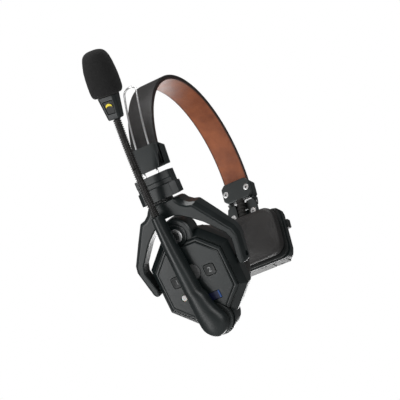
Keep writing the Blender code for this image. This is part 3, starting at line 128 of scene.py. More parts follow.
def finish_material(name, colour, roughness, metallic=0.0):
    """A Principled material, its shader, and the piece's own coordinates to drive patterns."""
    made = bpy.data.materials.new(name)
    made.use_nodes = True
    tree = made.node_tree
    shader = tree.nodes["Principled BSDF"]
    shader.inputs["Base Color"].default_value = (*colour, 1.0)
    shader.inputs["Roughness"].default_value = roughness
    shader.inputs["Metallic"].default_value = metallic
    place = tree.nodes.new("ShaderNodeTexCoord")
    return made, tree, shader, place.outputs["Object"]


def vary(tree, shader, place, scale, dark, light, rough_low, rough_high):
    """Let the colour and the gloss wander between two values, in patches of about 1 / scale metres."""
    patches = node(tree, "TexNoise", Scale=scale, Detail=5.0, Roughness=0.6)
    tones = node(tree, "ValToRGB")
    tones.color_ramp.elements[0].position = 0.3
    tones.color_ramp.elements[0].color = (*dark, 1.0)
    tones.color_ramp.elements[1].position = 0.7
    tones.color_ramp.elements[1].color = (*light, 1.0)
    gloss = node(tree, "MapRange")
    gloss.inputs["From Min"].default_value = 0.3
    gloss.inputs["From Max"].default_value = 0.7
    gloss.inputs["To Min"].default_value = rough_low
    gloss.inputs["To Max"].default_value = rough_high
    tree.links.new(place, patches.inputs["Vector"])
    tree.links.new(patches.outputs["Fac"], tones.inputs["Fac"])
    tree.links.new(patches.outputs["Fac"], gloss.inputs["Value"])
    tree.links.new(tones.outputs["Color"], shader.inputs["Base Color"])
    tree.links.new(gloss.outputs["Result"], shader.inputs["Roughness"])
    return tones


def leather(name, dark, light, roughness, pebble, depth):
    """Grained leather: pebbles of about 1 / pebble metres with soft creases between them, and fine pores."""
    made, tree, shader, place = finish_material(name, light, roughness)
    tones = vary(tree, shader, place, 55.0, dark, light, roughness - 0.07, roughness + 0.08)
    creases = node(tree, "TexVoronoi", feature="DISTANCE_TO_EDGE", Scale=pebble)
    rounded = node(tree, "MapRange", interpolation_type="SMOOTHSTEP")
    rounded.inputs["From Max"].default_value = 0.35
    pores = node(tree, "TexNoise", Scale=pebble * 3.2, Detail=3.0)
    both = node(tree, "Math", operation="MULTIPLY_ADD")
    both.inputs[1].default_value = 0.3
    bump = node(tree, "Bump", Strength=0.8, Distance=depth)
    wandering = node(tree, "TexNoise", Scale=pebble * 0.4, Detail=2.0)
    shifted = node(tree, "MixRGB", blend_type="LINEAR_LIGHT")
    shifted.inputs["Fac"].default_value = 0.0008
    tree.links.new(place, wandering.inputs["Vector"])
    tree.links.new(place, shifted.inputs["Color1"])
    tree.links.new(wandering.outputs["Color"], shifted.inputs["Color2"])
    tree.links.new(shifted.outputs["Color"], creases.inputs["Vector"])
    tree.links.new(place, pores.inputs["Vector"])
    tree.links.new(creases.outputs["Distance"], rounded.inputs["Value"])
    tree.links.new(pores.outputs["Fac"], both.inputs[0])
    tree.links.new(rounded.outputs["Result"], both.inputs[2])
    tree.links.new(both.outputs["Value"], bump.inputs["Height"])
    tree.links.new(bump.outputs["Normal"], shader.inputs["Normal"])
    return made, tree, shader, tones


def work_on(piece):
    """Select only this piece and make it the active one."""
    bpy.ops.object.select_all(action="DESELECT")
    piece.select_set(True)
    bpy.context.view_layer.objects.active = piece


def paint_with(piece, paint):
    """Give the piece one material all over."""
    piece.data.materials.clear()
    piece.data.materials.append(paint)


def close_shape():
    """Turn the faces of the shape being edited outward and leave edit mode."""
    bpy.ops.mesh.select_all(action="SELECT")
    bpy.ops.mesh.normals_make_consistent(inside=False)
    bpy.ops.object.mode_set(mode="OBJECT")


def begin(add, name, **sizes):
    """Add a primitive with nothing else selected, and name it."""
    bpy.ops.object.select_all(action="DESELECT")
    add(**sizes)
    piece = bpy.context.object
    piece.name = name
    return piece


def pick(piece, test, parts="faces"):
    """In edit mode, select only the faces, edges or vertices that pass a test on their middle and normal."""
    mode = {"faces": "FACE", "edges": "EDGE", "verts": "VERT"}[parts]
    bpy.ops.mesh.select_mode(type=mode)
    bpy.ops.mesh.select_all(action="DESELECT")
    mesh = bmesh.from_edit_mesh(piece.data)
    mesh.normal_update()
    for part in getattr(mesh, parts):
        if parts == "faces":
            part.select_set(bool(test(part.calc_center_median(), part.normal)))
        elif parts == "verts":
            part.select_set(bool(test(part.co, part.normal)))
        else:
            near, far = part.verts
            part.select_set(bool(test((near.co + far.co) / 2, (far.co - near.co).normalized())))
    mesh.select_flush_mode()
    bmesh.update_edit_mesh(piece.data)


def apply_all(piece):
    """Apply the piece's modifiers in order."""
    work_on(piece)
    for modifier in list(piece.modifiers):
        bpy.ops.object.modifier_apply(modifier=modifier.name)


def round_edges(piece, width, segments=2, angle=30.0):
    """Round the piece's sharp edges and apply it."""
    modifier = piece.modifiers.new("round edges", "BEVEL")
    modifier.width = width
    modifier.segments = segments
    modifier.limit_method = "ANGLE"
    modifier.angle_limit = radians(angle)
    modifier.use_clamp_overlap = False
    modifier.harden_normals = False
    apply_all(piece)


def smooth(piece, angle=35.0):
    """Smooth shading, with edges sharper than the angle left crisp."""
    work_on(piece)
    bpy.ops.object.shade_smooth_by_angle(angle=radians(angle))


def crisp(piece, angle=40.0):
    """Shading of a hard moulding: rounded edges carry the light and the large faces stay flat."""
    smooth(piece, angle)
    modifier = piece.modifiers.new("flat faces", "WEIGHTED_NORMAL")
    modifier.keep_sharp = True
    modifier.weight = 80
    apply_all(piece)


def soften(piece, levels):
    """Subdivide the piece smoothly and apply it."""
    modifier = piece.modifiers.new("soften", "SUBSURF")
    modifier.levels = levels
    modifier.render_levels = levels
    apply_all(piece)


def settle(piece, place):
    """Move the piece from its own drawing axes to its place, and leave the place in its mesh."""
    if bpy.context.mode != "OBJECT":
        bpy.ops.object.mode_set(mode="OBJECT")
    piece.matrix_world = place @ piece.matrix_world
    work_on(piece)
    bpy.ops.object.transform_apply(location=True, rotation=True, scale=True)


def fit(piece, paint, body, slot, *nodes):
    """Give the piece its material and its body, and let it stand for its CAD nodes; the slot is not used."""
    paint_with(piece, paint)
    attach(piece, body)
    if nodes:
        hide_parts(*nodes)


band_centre = Vector((0.0, 0.0, -77.2 * MM))
strap_width = 21.5 * MM


def bent_strip(name, inner, outer, width, edge, steps):
    """A strip over the crown: an end section with rounded corners, spun about the band's centre."""
    strip = begin(bpy.ops.mesh.primitive_plane_add, name, size=1.0)
    strip.scale = (outer - inner, width, 1.0)
    bpy.ops.object.transform_apply(scale=True)
    bpy.ops.object.mode_set(mode="EDIT")
    bpy.ops.mesh.select_all(action="SELECT")
    bpy.ops.mesh.bevel(offset=edge, segments=4, affect="VERTICES")
    bpy.ops.object.mode_set(mode="OBJECT")
    below_level = radians(strap_end_angle - 90.0)
    settle(strip, Matrix.Translation(band_centre) @ Matrix.Rotation(below_level, 4, "Y")
           @ Matrix.Translation(((inner + outer) / 2, 0.0, 0.0)))
    bpy.ops.object.mode_set(mode="EDIT")
    bpy.ops.mesh.select_all(action="SELECT")
    bpy.ops.mesh.spin(steps=steps, angle=radians(2 * strap_end_angle), center=band_centre,
                      axis=(0.0, 1.0, 0.0))
    bpy.ops.mesh.select_all(action="SELECT")
    bpy.ops.mesh.remove_doubles(threshold=1e-6)
    bpy.ops.mesh.normals_make_consistent(inside=False)
    bpy.ops.object.mode_set(mode="OBJECT")
    smooth(strip, 50.0)
    return strip


strap_end_angle = 96.0
black_hide = leather("black strap leather", (0.012, 0.011, 0.011), (0.020, 0.018, 0.017),
                     0.40, 1500.0, 0.00006)[0]
outer_strap = bent_strip("strap_outer_leather", 79.25 * MM, 80.9 * MM, strap_width, 0.42 * MM, 150)
fit(outer_strap, black_hide, "headband", "black_leather", "band_leather_cover")


# ---- Headband's spring strip and brown lining ----
# A strip of spring steel lies between the two leathers and presses the headset on.
# The lining is brown leather with a visible grain, darker along its burnished edges.
def metal(name, colour, roughness, scratches, depth, metallic=1.0, along=(1.0, 1.0, 1.0)):
    """Bare or coated metal, with a fine brushed or blasted surface."""
    made, tree, shader, place = finish_material(name, colour, roughness, metallic)
    stretch = node(tree, "Mapping")
    stretch.inputs["Scale"].default_value = along
    marks = node(tree, "TexNoise", Scale=scratches, Detail=4.0)
    gloss = node(tree, "MapRange")
    gloss.inputs["To Min"].default_value = roughness - 0.06
    gloss.inputs["To Max"].default_value = roughness + 0.08
    bump = node(tree, "Bump", Strength=0.5, Distance=depth)
    tree.links.new(place, stretch.inputs["Vector"])
    tree.links.new(stretch.outputs["Vector"], marks.inputs["Vector"])
    tree.links.new(marks.outputs["Fac"], gloss.inputs["Value"])
    tree.links.new(gloss.outputs["Result"], shader.inputs["Roughness"])
    tree.links.new(marks.outputs["Fac"], bump.inputs["Height"])
    tree.links.new(bump.outputs["Normal"], shader.inputs["Normal"])
    return made


spring = metal("blued spring steel", (0.10, 0.10, 0.11), 0.32, 900.0, 0.00001, along=(1.0, 6.0, 1.0))
spring_strip = bent_strip("spring_strip", 78.96 * MM, 79.24 * MM, 20.9 * MM, 0.1 * MM, 150)
fit(spring_strip, spring, "headband", "spring_steel", "band_spring_strip")

brown_hide, brown_tree, brown_shader, brown_tones = leather(
    "brown lining leather", (0.190, 0.046, 0.014), (0.400, 0.118, 0.042), 0.48, 1300.0, 0.00014)
brown_place = brown_tree.nodes.new("ShaderNodeTexCoord")
brown_axes = brown_tree.nodes.new("ShaderNodeSeparateXYZ")
brown_side = node(brown_tree, "Math", operation="ABSOLUTE")
brown_edge = node(brown_tree, "MapRange", interpolation_type="SMOOTHSTEP")
brown_edge.inputs["From Min"].default_value = 9.0 * MM
brown_edge.inputs["From Max"].default_value = 10.7 * MM
burnish = node(brown_tree, "MixRGB", blend_type="MIX")
burnish.inputs["Color2"].default_value = (0.030, 0.010, 0.006, 1.0)
brown_tree.links.new(brown_place.outputs["Object"], brown_axes.inputs["Vector"])
brown_tree.links.new(brown_axes.outputs["Y"], brown_side.inputs[0])
brown_tree.links.new(brown_side.outputs["Value"], brown_edge.inputs["Value"])
brown_tree.links.new(brown_edge.outputs["Result"], burnish.inputs["Fac"])
brown_tree.links.new(brown_tones.outputs["Color"], burnish.inputs["Color1"])
brown_tree.links.new(burnish.outputs["Color"], brown_shader.inputs["Base Color"])
lining = bent_strip("strap_brown_lining", 77.2 * MM, 78.95 * MM, strap_width, 0.5 * MM, 150)
fit(lining, brown_hide, "headband", "brown_leather", "band_brown_lining")


# ---- Sleeve on the strap's left end ----
# A moulded channel and its inner cover grip the strap and leave a slot for the wires.
# Four grip grooves are cut along its front edge; the plastic is black, satin and finely textured.
def moulded(name, colour, roughness, texture=5200.0, depth=0.000012):
    """Injection-moulded plastic: a fine spark-eroded texture and a gloss that wanders with handling."""
    made, tree, shader, place = finish_material(name, colour, roughness)
    pale = tuple(part * 1.25 for part in colour)
    dull = tuple(part * 0.8 for part in colour)
    vary(tree, shader, place, 70.0, dull, pale, roughness - 0.05, roughness + 0.06)
    specks = node(tree, "TexNoise", Scale=texture, Detail=2.0)
    bump = node(tree, "Bump", Strength=0.6, Distance=depth)
    tree.links.new(place, specks.inputs["Vector"])
    tree.links.new(specks.outputs["Fac"], bump.inputs["Height"])
    tree.links.new(bump.outputs["Normal"], shader.inputs["Normal"])
    return made


black_plastic = moulded("satin black plastic", (0.0075, 0.0115, 0.0118), 0.33)
dark_plastic = moulded("matt black plastic", (0.010, 0.012, 0.012), 0.50)


def from_cad(cad_node, name, edge=0.0, segments=2, angle=30.0):
    """A welded copy of a CAD node, its flat faces whole again and its edges rounded."""
    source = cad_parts[cad_node]
    piece = bpy.data.objects.new(name, source.data.copy())
    bpy.context.scene.collection.objects.link(piece)
    work_on(piece)
    if piece.data.has_custom_normals:
        bpy.ops.mesh.customdata_custom_splitnormals_clear()
    bpy.ops.object.mode_set(mode="EDIT")
    bpy.ops.mesh.select_all(action="SELECT")
    bpy.ops.mesh.remove_doubles(threshold=2e-6)
    bpy.ops.mesh.dissolve_limited(angle_limit=radians(1.0))
    bpy.ops.object.mode_set(mode="OBJECT")
    if edge:
        round_edges(piece, edge, segments, angle)
        crisp(piece)
    return piece


def side_axes(origin, lean, side):
    """Axes of a part of the headset: x outward, z up its lean; side is -1 for the ear cup, 1 for the pad."""
    out = Vector((side * cos(radians(lean)), 0.0, -sin(radians(lean))))
    up = Vector((side * sin(radians(lean)), 0.0, cos(radians(lean))))
    return Matrix.Translation(origin) @ Matrix((out, up.cross(out), up)).transposed().to_4x4()


def outward(axes, x=0.0, y=0.0, z=0.0):
    """Axes at a spot of a part, in millimetres, with z pointing outward, to model a face lying down."""
    turned = Matrix(((0, 0, 1, 0), (1, 0, 0, 0), (0, 1, 0, 0), (0, 0, 0, 1)))
    return axes @ Matrix.Translation((x * MM, y * MM, z * MM)) @ turned


def carve(piece, tools, operation="DIFFERENCE"):
    """Cut tools away from a piece, or join them to it, and remove them."""
    for tool in tools:
        modifier = piece.modifiers.new("carve", "BOOLEAN")
        modifier.operation = operation
        modifier.solver = "EXACT"
        modifier.object = tool
        apply_all(piece)
        bpy.data.objects.remove(tool)


def bar(name, place, size, bevel_width=0.0):
    """A small bar on a part's axes, in millimetres, with its long edges rounded."""
    made = begin(bpy.ops.mesh.primitive_cube_add, name, size=MM)
    made.scale = size
    bpy.ops.object.transform_apply(scale=True)
    if bevel_width:
        round_edges(made, bevel_width * MM)
    settle(made, place)
    return made


sleeve_axes = side_axes((-0.082382, 0.0, -0.08148), 7.0, -1)
sleeve = from_cad("slider_sleeve", "sleeve_shell")
grooves = []
corner_groove, side_groove = (1.0, 0.9, 15.0), (0.9, 1.0, 15.0)
for depth, across, lean, size in ((1.3, 11.2, 45, corner_groove), (-0.3, 12.8, 45, corner_groove),
                                  (-2.6, 13.35, 0, side_groove), (-4.6, 13.35, 0, side_groove)):
    spot = sleeve_axes @ Matrix.Translation((depth * MM, across * MM, 1.0 * MM))
    grooves.append(bar("groove", spot @ Matrix.Rotation(radians(lean), 4, "Z"), size))
carve(sleeve, grooves)
round_edges(sleeve, 0.28 * MM)
crisp(sleeve)
fit(sleeve, black_plastic, "headband", "black_plastic", "slider_sleeve")
sleeve_cover = from_cad("sleeve_inner_cover", "sleeve_cover", 0.35 * MM)
fit(sleeve_cover, black_plastic, "headband", "black_plastic", "sleeve_inner_cover")


# ---- Screws ----
# Eight countersunk steel screws with hexagon sockets hold the sleeve, the slider, the clamp and the pad.
# One is turned, its rim rounded and its socket cut; the others are copies, each with its own mesh.
screw_steel = metal("bright screw steel", (0.90, 0.90, 0.90), 0.42, 2500.0, 0.000006)
pattern_screw = begin(bpy.ops.mesh.primitive_cylinder_add, "pattern_screw", vertices=40,
                      radius=2.5 * MM, depth=0.5 * MM, location=(0.0, 0.0, -0.25 * MM))
bpy.ops.object.mode_set(mode="EDIT")
pick(pattern_screw, lambda middle, normal: normal.z < -0.9)
bpy.ops.mesh.extrude_region_move(TRANSFORM_OT_translate={"value": (0.0, 0.0, -0.8 * MM)})
bpy.ops.transform.resize(value=(0.44, 0.44, 1.0), center_override=(0.0, 0.0, 0.0))
bpy.ops.mesh.extrude_region_move(TRANSFORM_OT_translate={"value": (0.0, 0.0, -2.2 * MM)})
pick(pattern_screw, lambda middle, normal: normal.z > 0.9)
bpy.ops.mesh.inset(thickness=0.35 * MM, depth=0.12 * MM)
bpy.ops.mesh.inset(thickness=1.15 * MM, depth=-0.1 * MM)
bpy.ops.object.mode_set(mode="OBJECT")
socket = begin(bpy.ops.mesh.primitive_cylinder_add, "socket", vertices=6, radius=0.95 * MM,
               depth=2.0 * MM)
carve(pattern_screw, [socket])
round_edges(pattern_screw, 0.06 * MM, 2, 40.0)
smooth(pattern_screw, 35.0)


def screws(axes, spots, head, inward, body, cad_name):
    """Copies of the screw at its spots, with the head at a depth and facing out of or into the head space."""
    for count, (across, up) in enumerate(spots, start=1):
        copy = bpy.data.objects.new(f"{cad_name}_dressed_{count}", pattern_screw.data.copy())
        bpy.context.scene.collection.objects.link(copy)
        flip = Matrix.Rotation(pi, 4, "Y") if inward else Matrix.Identity(4)
        settle(copy, outward(axes, head, across, up) @ flip @ Matrix.Rotation(radians(17 * count), 4, "Z"))
        smooth(copy, 35.0)
        fit(copy, screw_steel, body, "steel_screw", f"{cad_name}_{count}")


screws(sleeve_axes, ((6.0, 1.0), (-6.0, 1.0)), -13.5, True, "headband", "sleeve_screw")


# ---- Wire loop of the size adjuster ----
# One length of polished stainless wire, 1.5 mm thick, is bent into a long loop that slides in the sleeve.
# It is drawn as a smooth line up one leg, round the top and down the other.
polished = metal("polished wire", (0.93, 0.93, 0.93), 0.30, 1500.0, 0.000003)
arc_centre = Vector((66.5 * MM, 0.0, -63.2 * MM))
wire_radius, half_spacing = 149.7 * MM, 5.5 * MM
leg_end, top = radians(14.014), radians(-14.895)


def on_arc(angle, across):
    """A point of the wire's middle line, at an angle below the arc's centre."""
    return arc_centre + Vector((-wire_radius * cos(angle), across, -wire_radius * sin(angle)))


route = [on_arc(leg_end + (top - leg_end) * step / 40, half_spacing) for step in range(40)]
for step in range(25):
    turn = pi * step / 24
    route.append(on_arc(top - half_spacing * sin(turn) / wire_radius, half_spacing * cos(turn)))
route += [Vector((point.x, -point.y, point.z)) for point in reversed(route[:40])]
wire_line = bpy.data.curves.new("wire_loop", "CURVE")
wire_line.dimensions = "3D"
wire_line.bevel_depth = 0.75 * MM
wire_line.bevel_resolution = 5
wire_line.use_fill_caps = True
strand = wire_line.splines.new("POLY")
strand.points.add(len(route) - 1)
for point, spot in zip(strand.points, route):
    point.co = (*spot, 1.0)
wire_loop = bpy.data.objects.new("wire_loop", wire_line)
bpy.context.scene.collection.objects.link(wire_loop)
work_on(wire_loop)
bpy.ops.object.convert(target="MESH")
wire_loop = bpy.context.object
smooth(wire_loop, 60.0)
fit(wire_loop, polished, "slider", "steel_wire", "slide_wire_loop")


# ---- Slider ----
# Two moulded halves, screwed together, hold the wires' ends and the swivel.
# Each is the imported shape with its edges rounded; a stepped band crosses the outer one.
slider_axes = side_axes((-0.076946, 0.0, -0.107056), 17.0, -1)
slider_outer = from_cad("slider_block_front", "slider_outer_half")
round_edges(slider_outer, 0.32 * MM)
crisp(slider_outer)
fit(slider_outer, black_plastic, "slider", "black_plastic", "slider_block_front")
slider_inner = from_cad("slider_block_back", "slider_inner_half", 0.35 * MM)
fit(slider_inner, black_plastic, "slider", "black_plastic", "slider_block_back")
screws(slider_axes, ((10.5, 5.5), (-10.5, 5.5)), -10.5, True, "slider", "slider_screw")
knuckle = from_cad("swivel_knuckle", "swivel_friction_ring", 0.1 * MM)
fit(knuckle, dark_plastic, "slider", "dark_plastic", "swivel_knuckle")


# ---- Yoke ----
# A moulded fork carries the cup on two pins; its shoulders are scalloped and its outer edge has a wide bevel.
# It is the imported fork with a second, finer rounding, so that the light runs along every edge.
yoke = from_cad("yoke_frame", "yoke_fork", 0.3 * MM, 2, 25.0)
fit(yoke, black_plastic, "yoke", "black_plastic", "yoke_frame")
dark_metal = metal("dark blasted metal", (0.075, 0.082, 0.082), 0.40, 3000.0, 0.00002, 0.75)
for cad_node, paint, slot in (("swivel_pin", screw_steel, "steel_screw"),
                              ("tilt_pin_front", dark_metal, "dark_metal"),
                              ("tilt_pin_rear", dark_metal, "dark_metal")):
    pin = from_cad(cad_node, cad_node + "_turned", 0.25 * MM)
    fit(pin, paint, "yoke", slot, cad_node)


# ---- Ear cup's shells and faceplate ----
# Two eight-sided moulded shells, with bosses for the dial and the boom; a plate covers the front.
# Their edges are rounded more than the small parts', so that they carry the bright lines of a moulding.
cup_axes = side_axes((-0.069446, 0.0, -0.126593), 25.0, -1)
front_shell = from_cad("cup_front_shell", "cup_front")


def cup_outline(name, share, low, high):
    """An eight-sided block in the cup's outline, scaled about its middle."""
    wide, tall, flat_wide, flat_tall = (part * share * MM for part in (33.5, 34.3, 16.5, 18.0))
    corners = ((flat_wide, tall), (-flat_wide, tall), (-wide, flat_tall), (-wide, -flat_tall),
               (-flat_wide, -tall), (flat_wide, -tall), (wide, -flat_tall), (wide, flat_tall))
    made = begin(bpy.ops.mesh.primitive_circle_add, name, vertices=8, radius=MM, fill_type="NGON")
    for vertex, (across, up) in zip(made.data.vertices, corners):
        vertex.co = (across, up, low * MM)
    bpy.ops.object.mode_set(mode="EDIT")
    bpy.ops.mesh.select_all(action="SELECT")
    bpy.ops.mesh.extrude_region_move(TRANSFORM_OT_translate={"value": (0.0, 0.0, (high - low) * MM)})
    close_shape()
    settle(made, outward(cup_axes, 0.0, 0.0, -48.5))
    return made


groove = cup_outline("groove", 0.872, 3.9, 7.5)
groove_core = cup_outline("groove_core", 0.852, 3.0, 8.5)
carve(groove, [groove_core])
carve(front_shell, [groove])
round_edges(front_shell, 0.22 * MM, 2, 25.0)
crisp(front_shell, 35.0)
fit(front_shell, black_plastic, "cup", "black_plastic", "cup_front_shell")
back_shell = from_cad("cup_back_shell", "cup_back", 0.5 * MM)
fit(back_shell, black_plastic, "cup", "black_plastic", "cup_back_shell")
faceplate = from_cad("cup_faceplate", "cup_face", 0.2 * MM)
fit(faceplate, black_plastic, "cup", "black_plastic", "cup_faceplate")


# ---- Label and status lamp ----
# A small glossy blue label lies in a pocket of the faceplate, plain but for a lighter strip at one end.
# The lamp's lens is a milky white dome.
label_axes = outward(cup_axes, 7.6, 9.0, -64.8)
label = begin(bpy.ops.mesh.primitive_cube_add, "blue_label", size=MM)
label.scale = (9.0, 5.8, 0.6)
bpy.ops.object.transform_apply(scale=True)
bpy.ops.object.mode_set(mode="EDIT")
bpy.ops.mesh.select_all(action="SELECT")
light_from = 3.2 * MM
bpy.ops.mesh.bisect(plane_co=(light_from, 0.0, 0.0), plane_no=(1.0, 0.0, 0.0))
bpy.ops.object.mode_set(mode="OBJECT")
round_edges(label, 0.15 * MM)
settle(label, label_axes)
label_blue = finish_material("label blue", (0.001, 0.004, 0.036), 0.50)[0]
label_light = finish_material("label light blue", (0.006, 0.055, 0.230), 0.50)[0]
fit(label, label_blue, "cup", "label_blue", "channel_label")
label.data.materials.append(label_light)
to_label = label_axes.inverted()
for face in label.data.polygons:
    face.material_index = int((to_label @ face.center).x > light_from)
lens_white = finish_material("milky lens", (0.72, 0.72, 0.70), 0.25)[0]
lens_shader = lens_white.node_tree.nodes["Principled BSDF"]
lens_shader.inputs["Subsurface Weight"].default_value = 0.2
lens_shader.inputs["Subsurface Scale"].default_value = 0.001
lamp_lens = from_cad("status_lamp", "status_lamp_lens", 0.2 * MM, 3)
fit(lamp_lens, lens_white, "cup", "lamp_white", "status_lamp")


# ---- Parts inside the ear cup ----
# The keypad's rubber mat, the circuit board and the driver sit inside; only slits and holes show them.
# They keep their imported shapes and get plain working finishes.
rubber = moulded("soft black rubber", (0.012, 0.011, 0.010), 0.70, 2600.0, 0.00003)
board_green = moulded("board lacquer", (0.010, 0.075, 0.030), 0.35)
driver_metal = metal("driver basket", (0.30, 0.30, 0.30), 0.35, 1200.0, 0.00001)
for cad_node, paint in (("keypad_membrane", rubber), ("circuit_board", board_green),
                        ("speaker_driver", driver_metal)):
    paint_with(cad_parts[cad_node], paint)
grille = from_cad("driver_grille", "driver_cover", 0.1 * MM)
fit(grille, dark_plastic, "cup", "dark_plastic", "driver_grille")


# ---- Ear cushion ----
# A ring of soft leather over foam, 68 mm across, with a welt where its skirt is sewn behind.
# A torus is made deep and square-shouldered, gathered into small pleats inside, and subdivided.
pad_hide = leather("soft pad leather", (0.013, 0.012, 0.012), (0.024, 0.022, 0.021),
                   0.46, 1900.0, 0.00007)[0]
ear_axes = outward(cup_axes, 0.0, 0.0, -48.5)
ring_radius, tube_radius = 27.7 * MM, 6.3 * MM
middle_depth, half_depth = -20.7 * MM, 7.8 * MM
squareness = 2.8
ear_cushion = begin(bpy.ops.mesh.primitive_torus_add, "ear_cushion_leather", major_segments=144,
                    minor_segments=28, major_radius=ring_radius, minor_radius=tube_radius)
for vertex in ear_cushion.data.vertices:
    around = atan2(vertex.co.y, vertex.co.x)
    reach = Vector((vertex.co.x, vertex.co.y)).length
    across, along = (reach - ring_radius) / tube_radius, vertex.co.z / tube_radius
    size = (abs(across) ** squareness + abs(along) ** squareness) ** (-1 / squareness)
    across, along = across * size, along * size
    pleats = 0.22 * sin(36 * around) + 0.12 * sin(23 * around + 1.0)
    gather = max(0.0, -across) * max(0.0, min(1.0, 1.1 + along)) * pleats
    slack = 0.10 * sin(5 * around + 0.6) + 0.07 * sin(9 * around)
    reach = ring_radius + (across * 6.25 + gather - 0.25 * abs(slack) * max(0.0, across)) * MM
    vertex.co = (reach * cos(around), reach * sin(around), along * half_depth * (1.0 - 0.012 * (1 + slack)))
bpy.ops.object.mode_set(mode="EDIT")
welt_low, welt_high, welt_inner = 5.2 * MM, 6.6 * MM, 31.5 * MM
pick(ear_cushion, lambda middle, normal: welt_low < middle.z < welt_high and middle.xy.length > welt_inner)
bpy.ops.mesh.inset(thickness=0.25 * MM, depth=-0.35 * MM)
bpy.ops.object.mode_set(mode="OBJECT")
soften(ear_cushion, 1)
settle(ear_cushion, ear_axes @ Matrix.Translation((0.0, 0.0, middle_depth)))
smooth(ear_cushion, 60.0)
fit(ear_cushion, pad_hide, "cup", "black_leather", "ear_cushion")


# ---- Boom's friction disc and pin ----
# A ring of blasted steel lies between the cup and the boom, and a steel pin carries the boom.
disc = from_cad("boom_friction_disc", "boom_disc", 0.3 * MM)
fit(disc, dark_metal, "cup", "dark_metal", "boom_friction_disc")
boom_pin = from_cad("boom_pivot_pin", "boom_pin", 0.2 * MM)
fit(boom_pin, screw_steel, "boom", "steel_screw", "boom_pivot_pin")


# ---- Volume dial ----
# A turned dial with a fine milled rim and two rings in its face, a polished ring, and a domed cap with a dot.
# A cylinder's top is inset again and again and stepped up or down at each ring.
dial_axes = outward(cup_axes, 0.0, 0.0, -12.9)
rim_faces = 120
volume_dial = begin(bpy.ops.mesh.primitive_cylinder_add, "dial_knob", vertices=rim_faces,
                    radius=8.5 * MM, depth=3.5 * MM, location=(0.0, 0.0, 2.85 * MM))
bpy.ops.object.mode_set(mode="EDIT")
for inset, step in ((0.5, 0.45), (0.7, 0.0), (0.15, -0.35), (0.45, 0.0), (0.15, 0.35), (0.6, 0.0),
                    (0.15, -0.3), (0.4, 0.0)):
    pick(volume_dial, lambda middle, normal: normal.z > 0.9 and middle.xy.length < 0.2 * MM)
    bpy.ops.mesh.inset(thickness=inset * MM, depth=step * MM)
pick(volume_dial, lambda middle, normal: abs(normal.z) < 0.3 and middle.xy.length > 8.3 * MM
     and int(round(atan2(middle.y, middle.x) / (2 * pi) * rim_faces + 0.5)) % 2 == 0)
bpy.ops.mesh.inset(thickness=0.02 * MM, depth=-0.18 * MM, use_individual=True)
bpy.ops.object.mode_set(mode="OBJECT")
settle(volume_dial, dial_axes)
smooth(volume_dial, 30.0)
fit(volume_dial, black_plastic, "dial", "black_plastic", "volume_dial")
dial_ring = from_cad("dial_ring", "dial_bright_ring", 0.15 * MM, 3)
fit(dial_ring, polished, "dial", "steel_wire", "dial_ring")
dial_cap = from_cad("dial_cap", "dial_centre_cap", 0.2 * MM)
fit(dial_cap, dark_plastic, "dial", "dark_plastic", "dial_cap")


# ---- Push buttons ----
# The round talk button is mid grey and slightly dished; two square black ones have a raised numeral.
# A cylinder or a box with round corners is inset on top, rounded over and dished.
key_grey = moulded("grey key", (0.090, 0.092, 0.092), 0.42)
print_grey = moulded("raised numeral grey", (0.300, 0.310, 0.310), 0.45)


def key(name, across, up, half, proud, body, paint, slot, cad_node, numeral=None):
    """A push button in its hole, round, or square with a raised numeral."""
    low, high = 3.4, 7.8 + proud
    place = (0.0, 0.0, (high + low) / 2 * MM)
    if numeral:
        piece = begin(bpy.ops.mesh.primitive_cube_add, name, size=MM)
        piece.scale = (2 * half, 2 * half, high - low)
        piece.location = place
        bpy.ops.object.transform_apply(location=True, scale=True)
        bpy.ops.object.mode_set(mode="EDIT")
        pick(piece, lambda middle, way: abs(way.z) > 0.9, "edges")
        bpy.ops.mesh.bevel(offset=1.8 * MM, segments=8)
    else:
        piece = begin(bpy.ops.mesh.primitive_cylinder_add, name, vertices=64, radius=half * MM,
                      depth=(high - low) * MM, location=place)
        bpy.ops.object.transform_apply(location=True)
        bpy.ops.object.mode_set(mode="EDIT")
    pick(piece, lambda middle, normal: normal.z > 0.9)
    bpy.ops.mesh.inset(thickness=0.7 * MM, depth=0.0)
    bpy.ops.mesh.inset(thickness=0.5 * MM, depth=-0.12 * MM)
    bpy.ops.object.mode_set(mode="OBJECT")
    round_edges(piece, 0.3 * MM, 3, 40.0)
    if numeral:
        sign_line = bpy.data.curves.new(name + "_numeral", "FONT")
        sign_line.body = numeral
        sign_line.size = 5.4 * MM
        sign_line.extrude = 0.25 * MM
        sign_line.align_x, sign_line.align_y = "CENTER", "CENTER"
        sign = bpy.data.objects.new(name + "_numeral", sign_line)
        bpy.context.scene.collection.objects.link(sign)
        work_on(sign)
        bpy.ops.object.convert(target="MESH")
        sign = bpy.context.object
        settle(sign, outward(cup_axes, high - 0.05, across, up))
        fit(sign, print_grey, body, slot)
    settle(piece, outward(cup_axes, 0.0, across, up))
    smooth(piece, 30.0)
    fit(piece, paint, body, slot, cad_node)


key("talk_key", 0.9, -42.3, 5.9, 0.5, "talk_button", key_grey, "grey_button", "talk_button")
key("first_key", -14.1, -45.2, 4.2, 0.2, "button_one", dark_plastic, "dark_plastic", "button_one", "1")
key("second_key", 14.1, -45.2, 4.2, 0.2, "button_two", dark_plastic, "dark_plastic", "button_two", "2")


# ---- Boom arm ----
# A hollow moulding, flat towards the cup and domed outward, wide and round at the pivot and slim at the neck.
# A round section is flattened behind, extruded up the arm from ring to ring, and subdivided.
boom_axes = cup_axes @ Matrix.Translation((0.0, 1.5 * MM, -81.8 * MM)) @ Matrix.Rotation(radians(2.6), 4, "X")


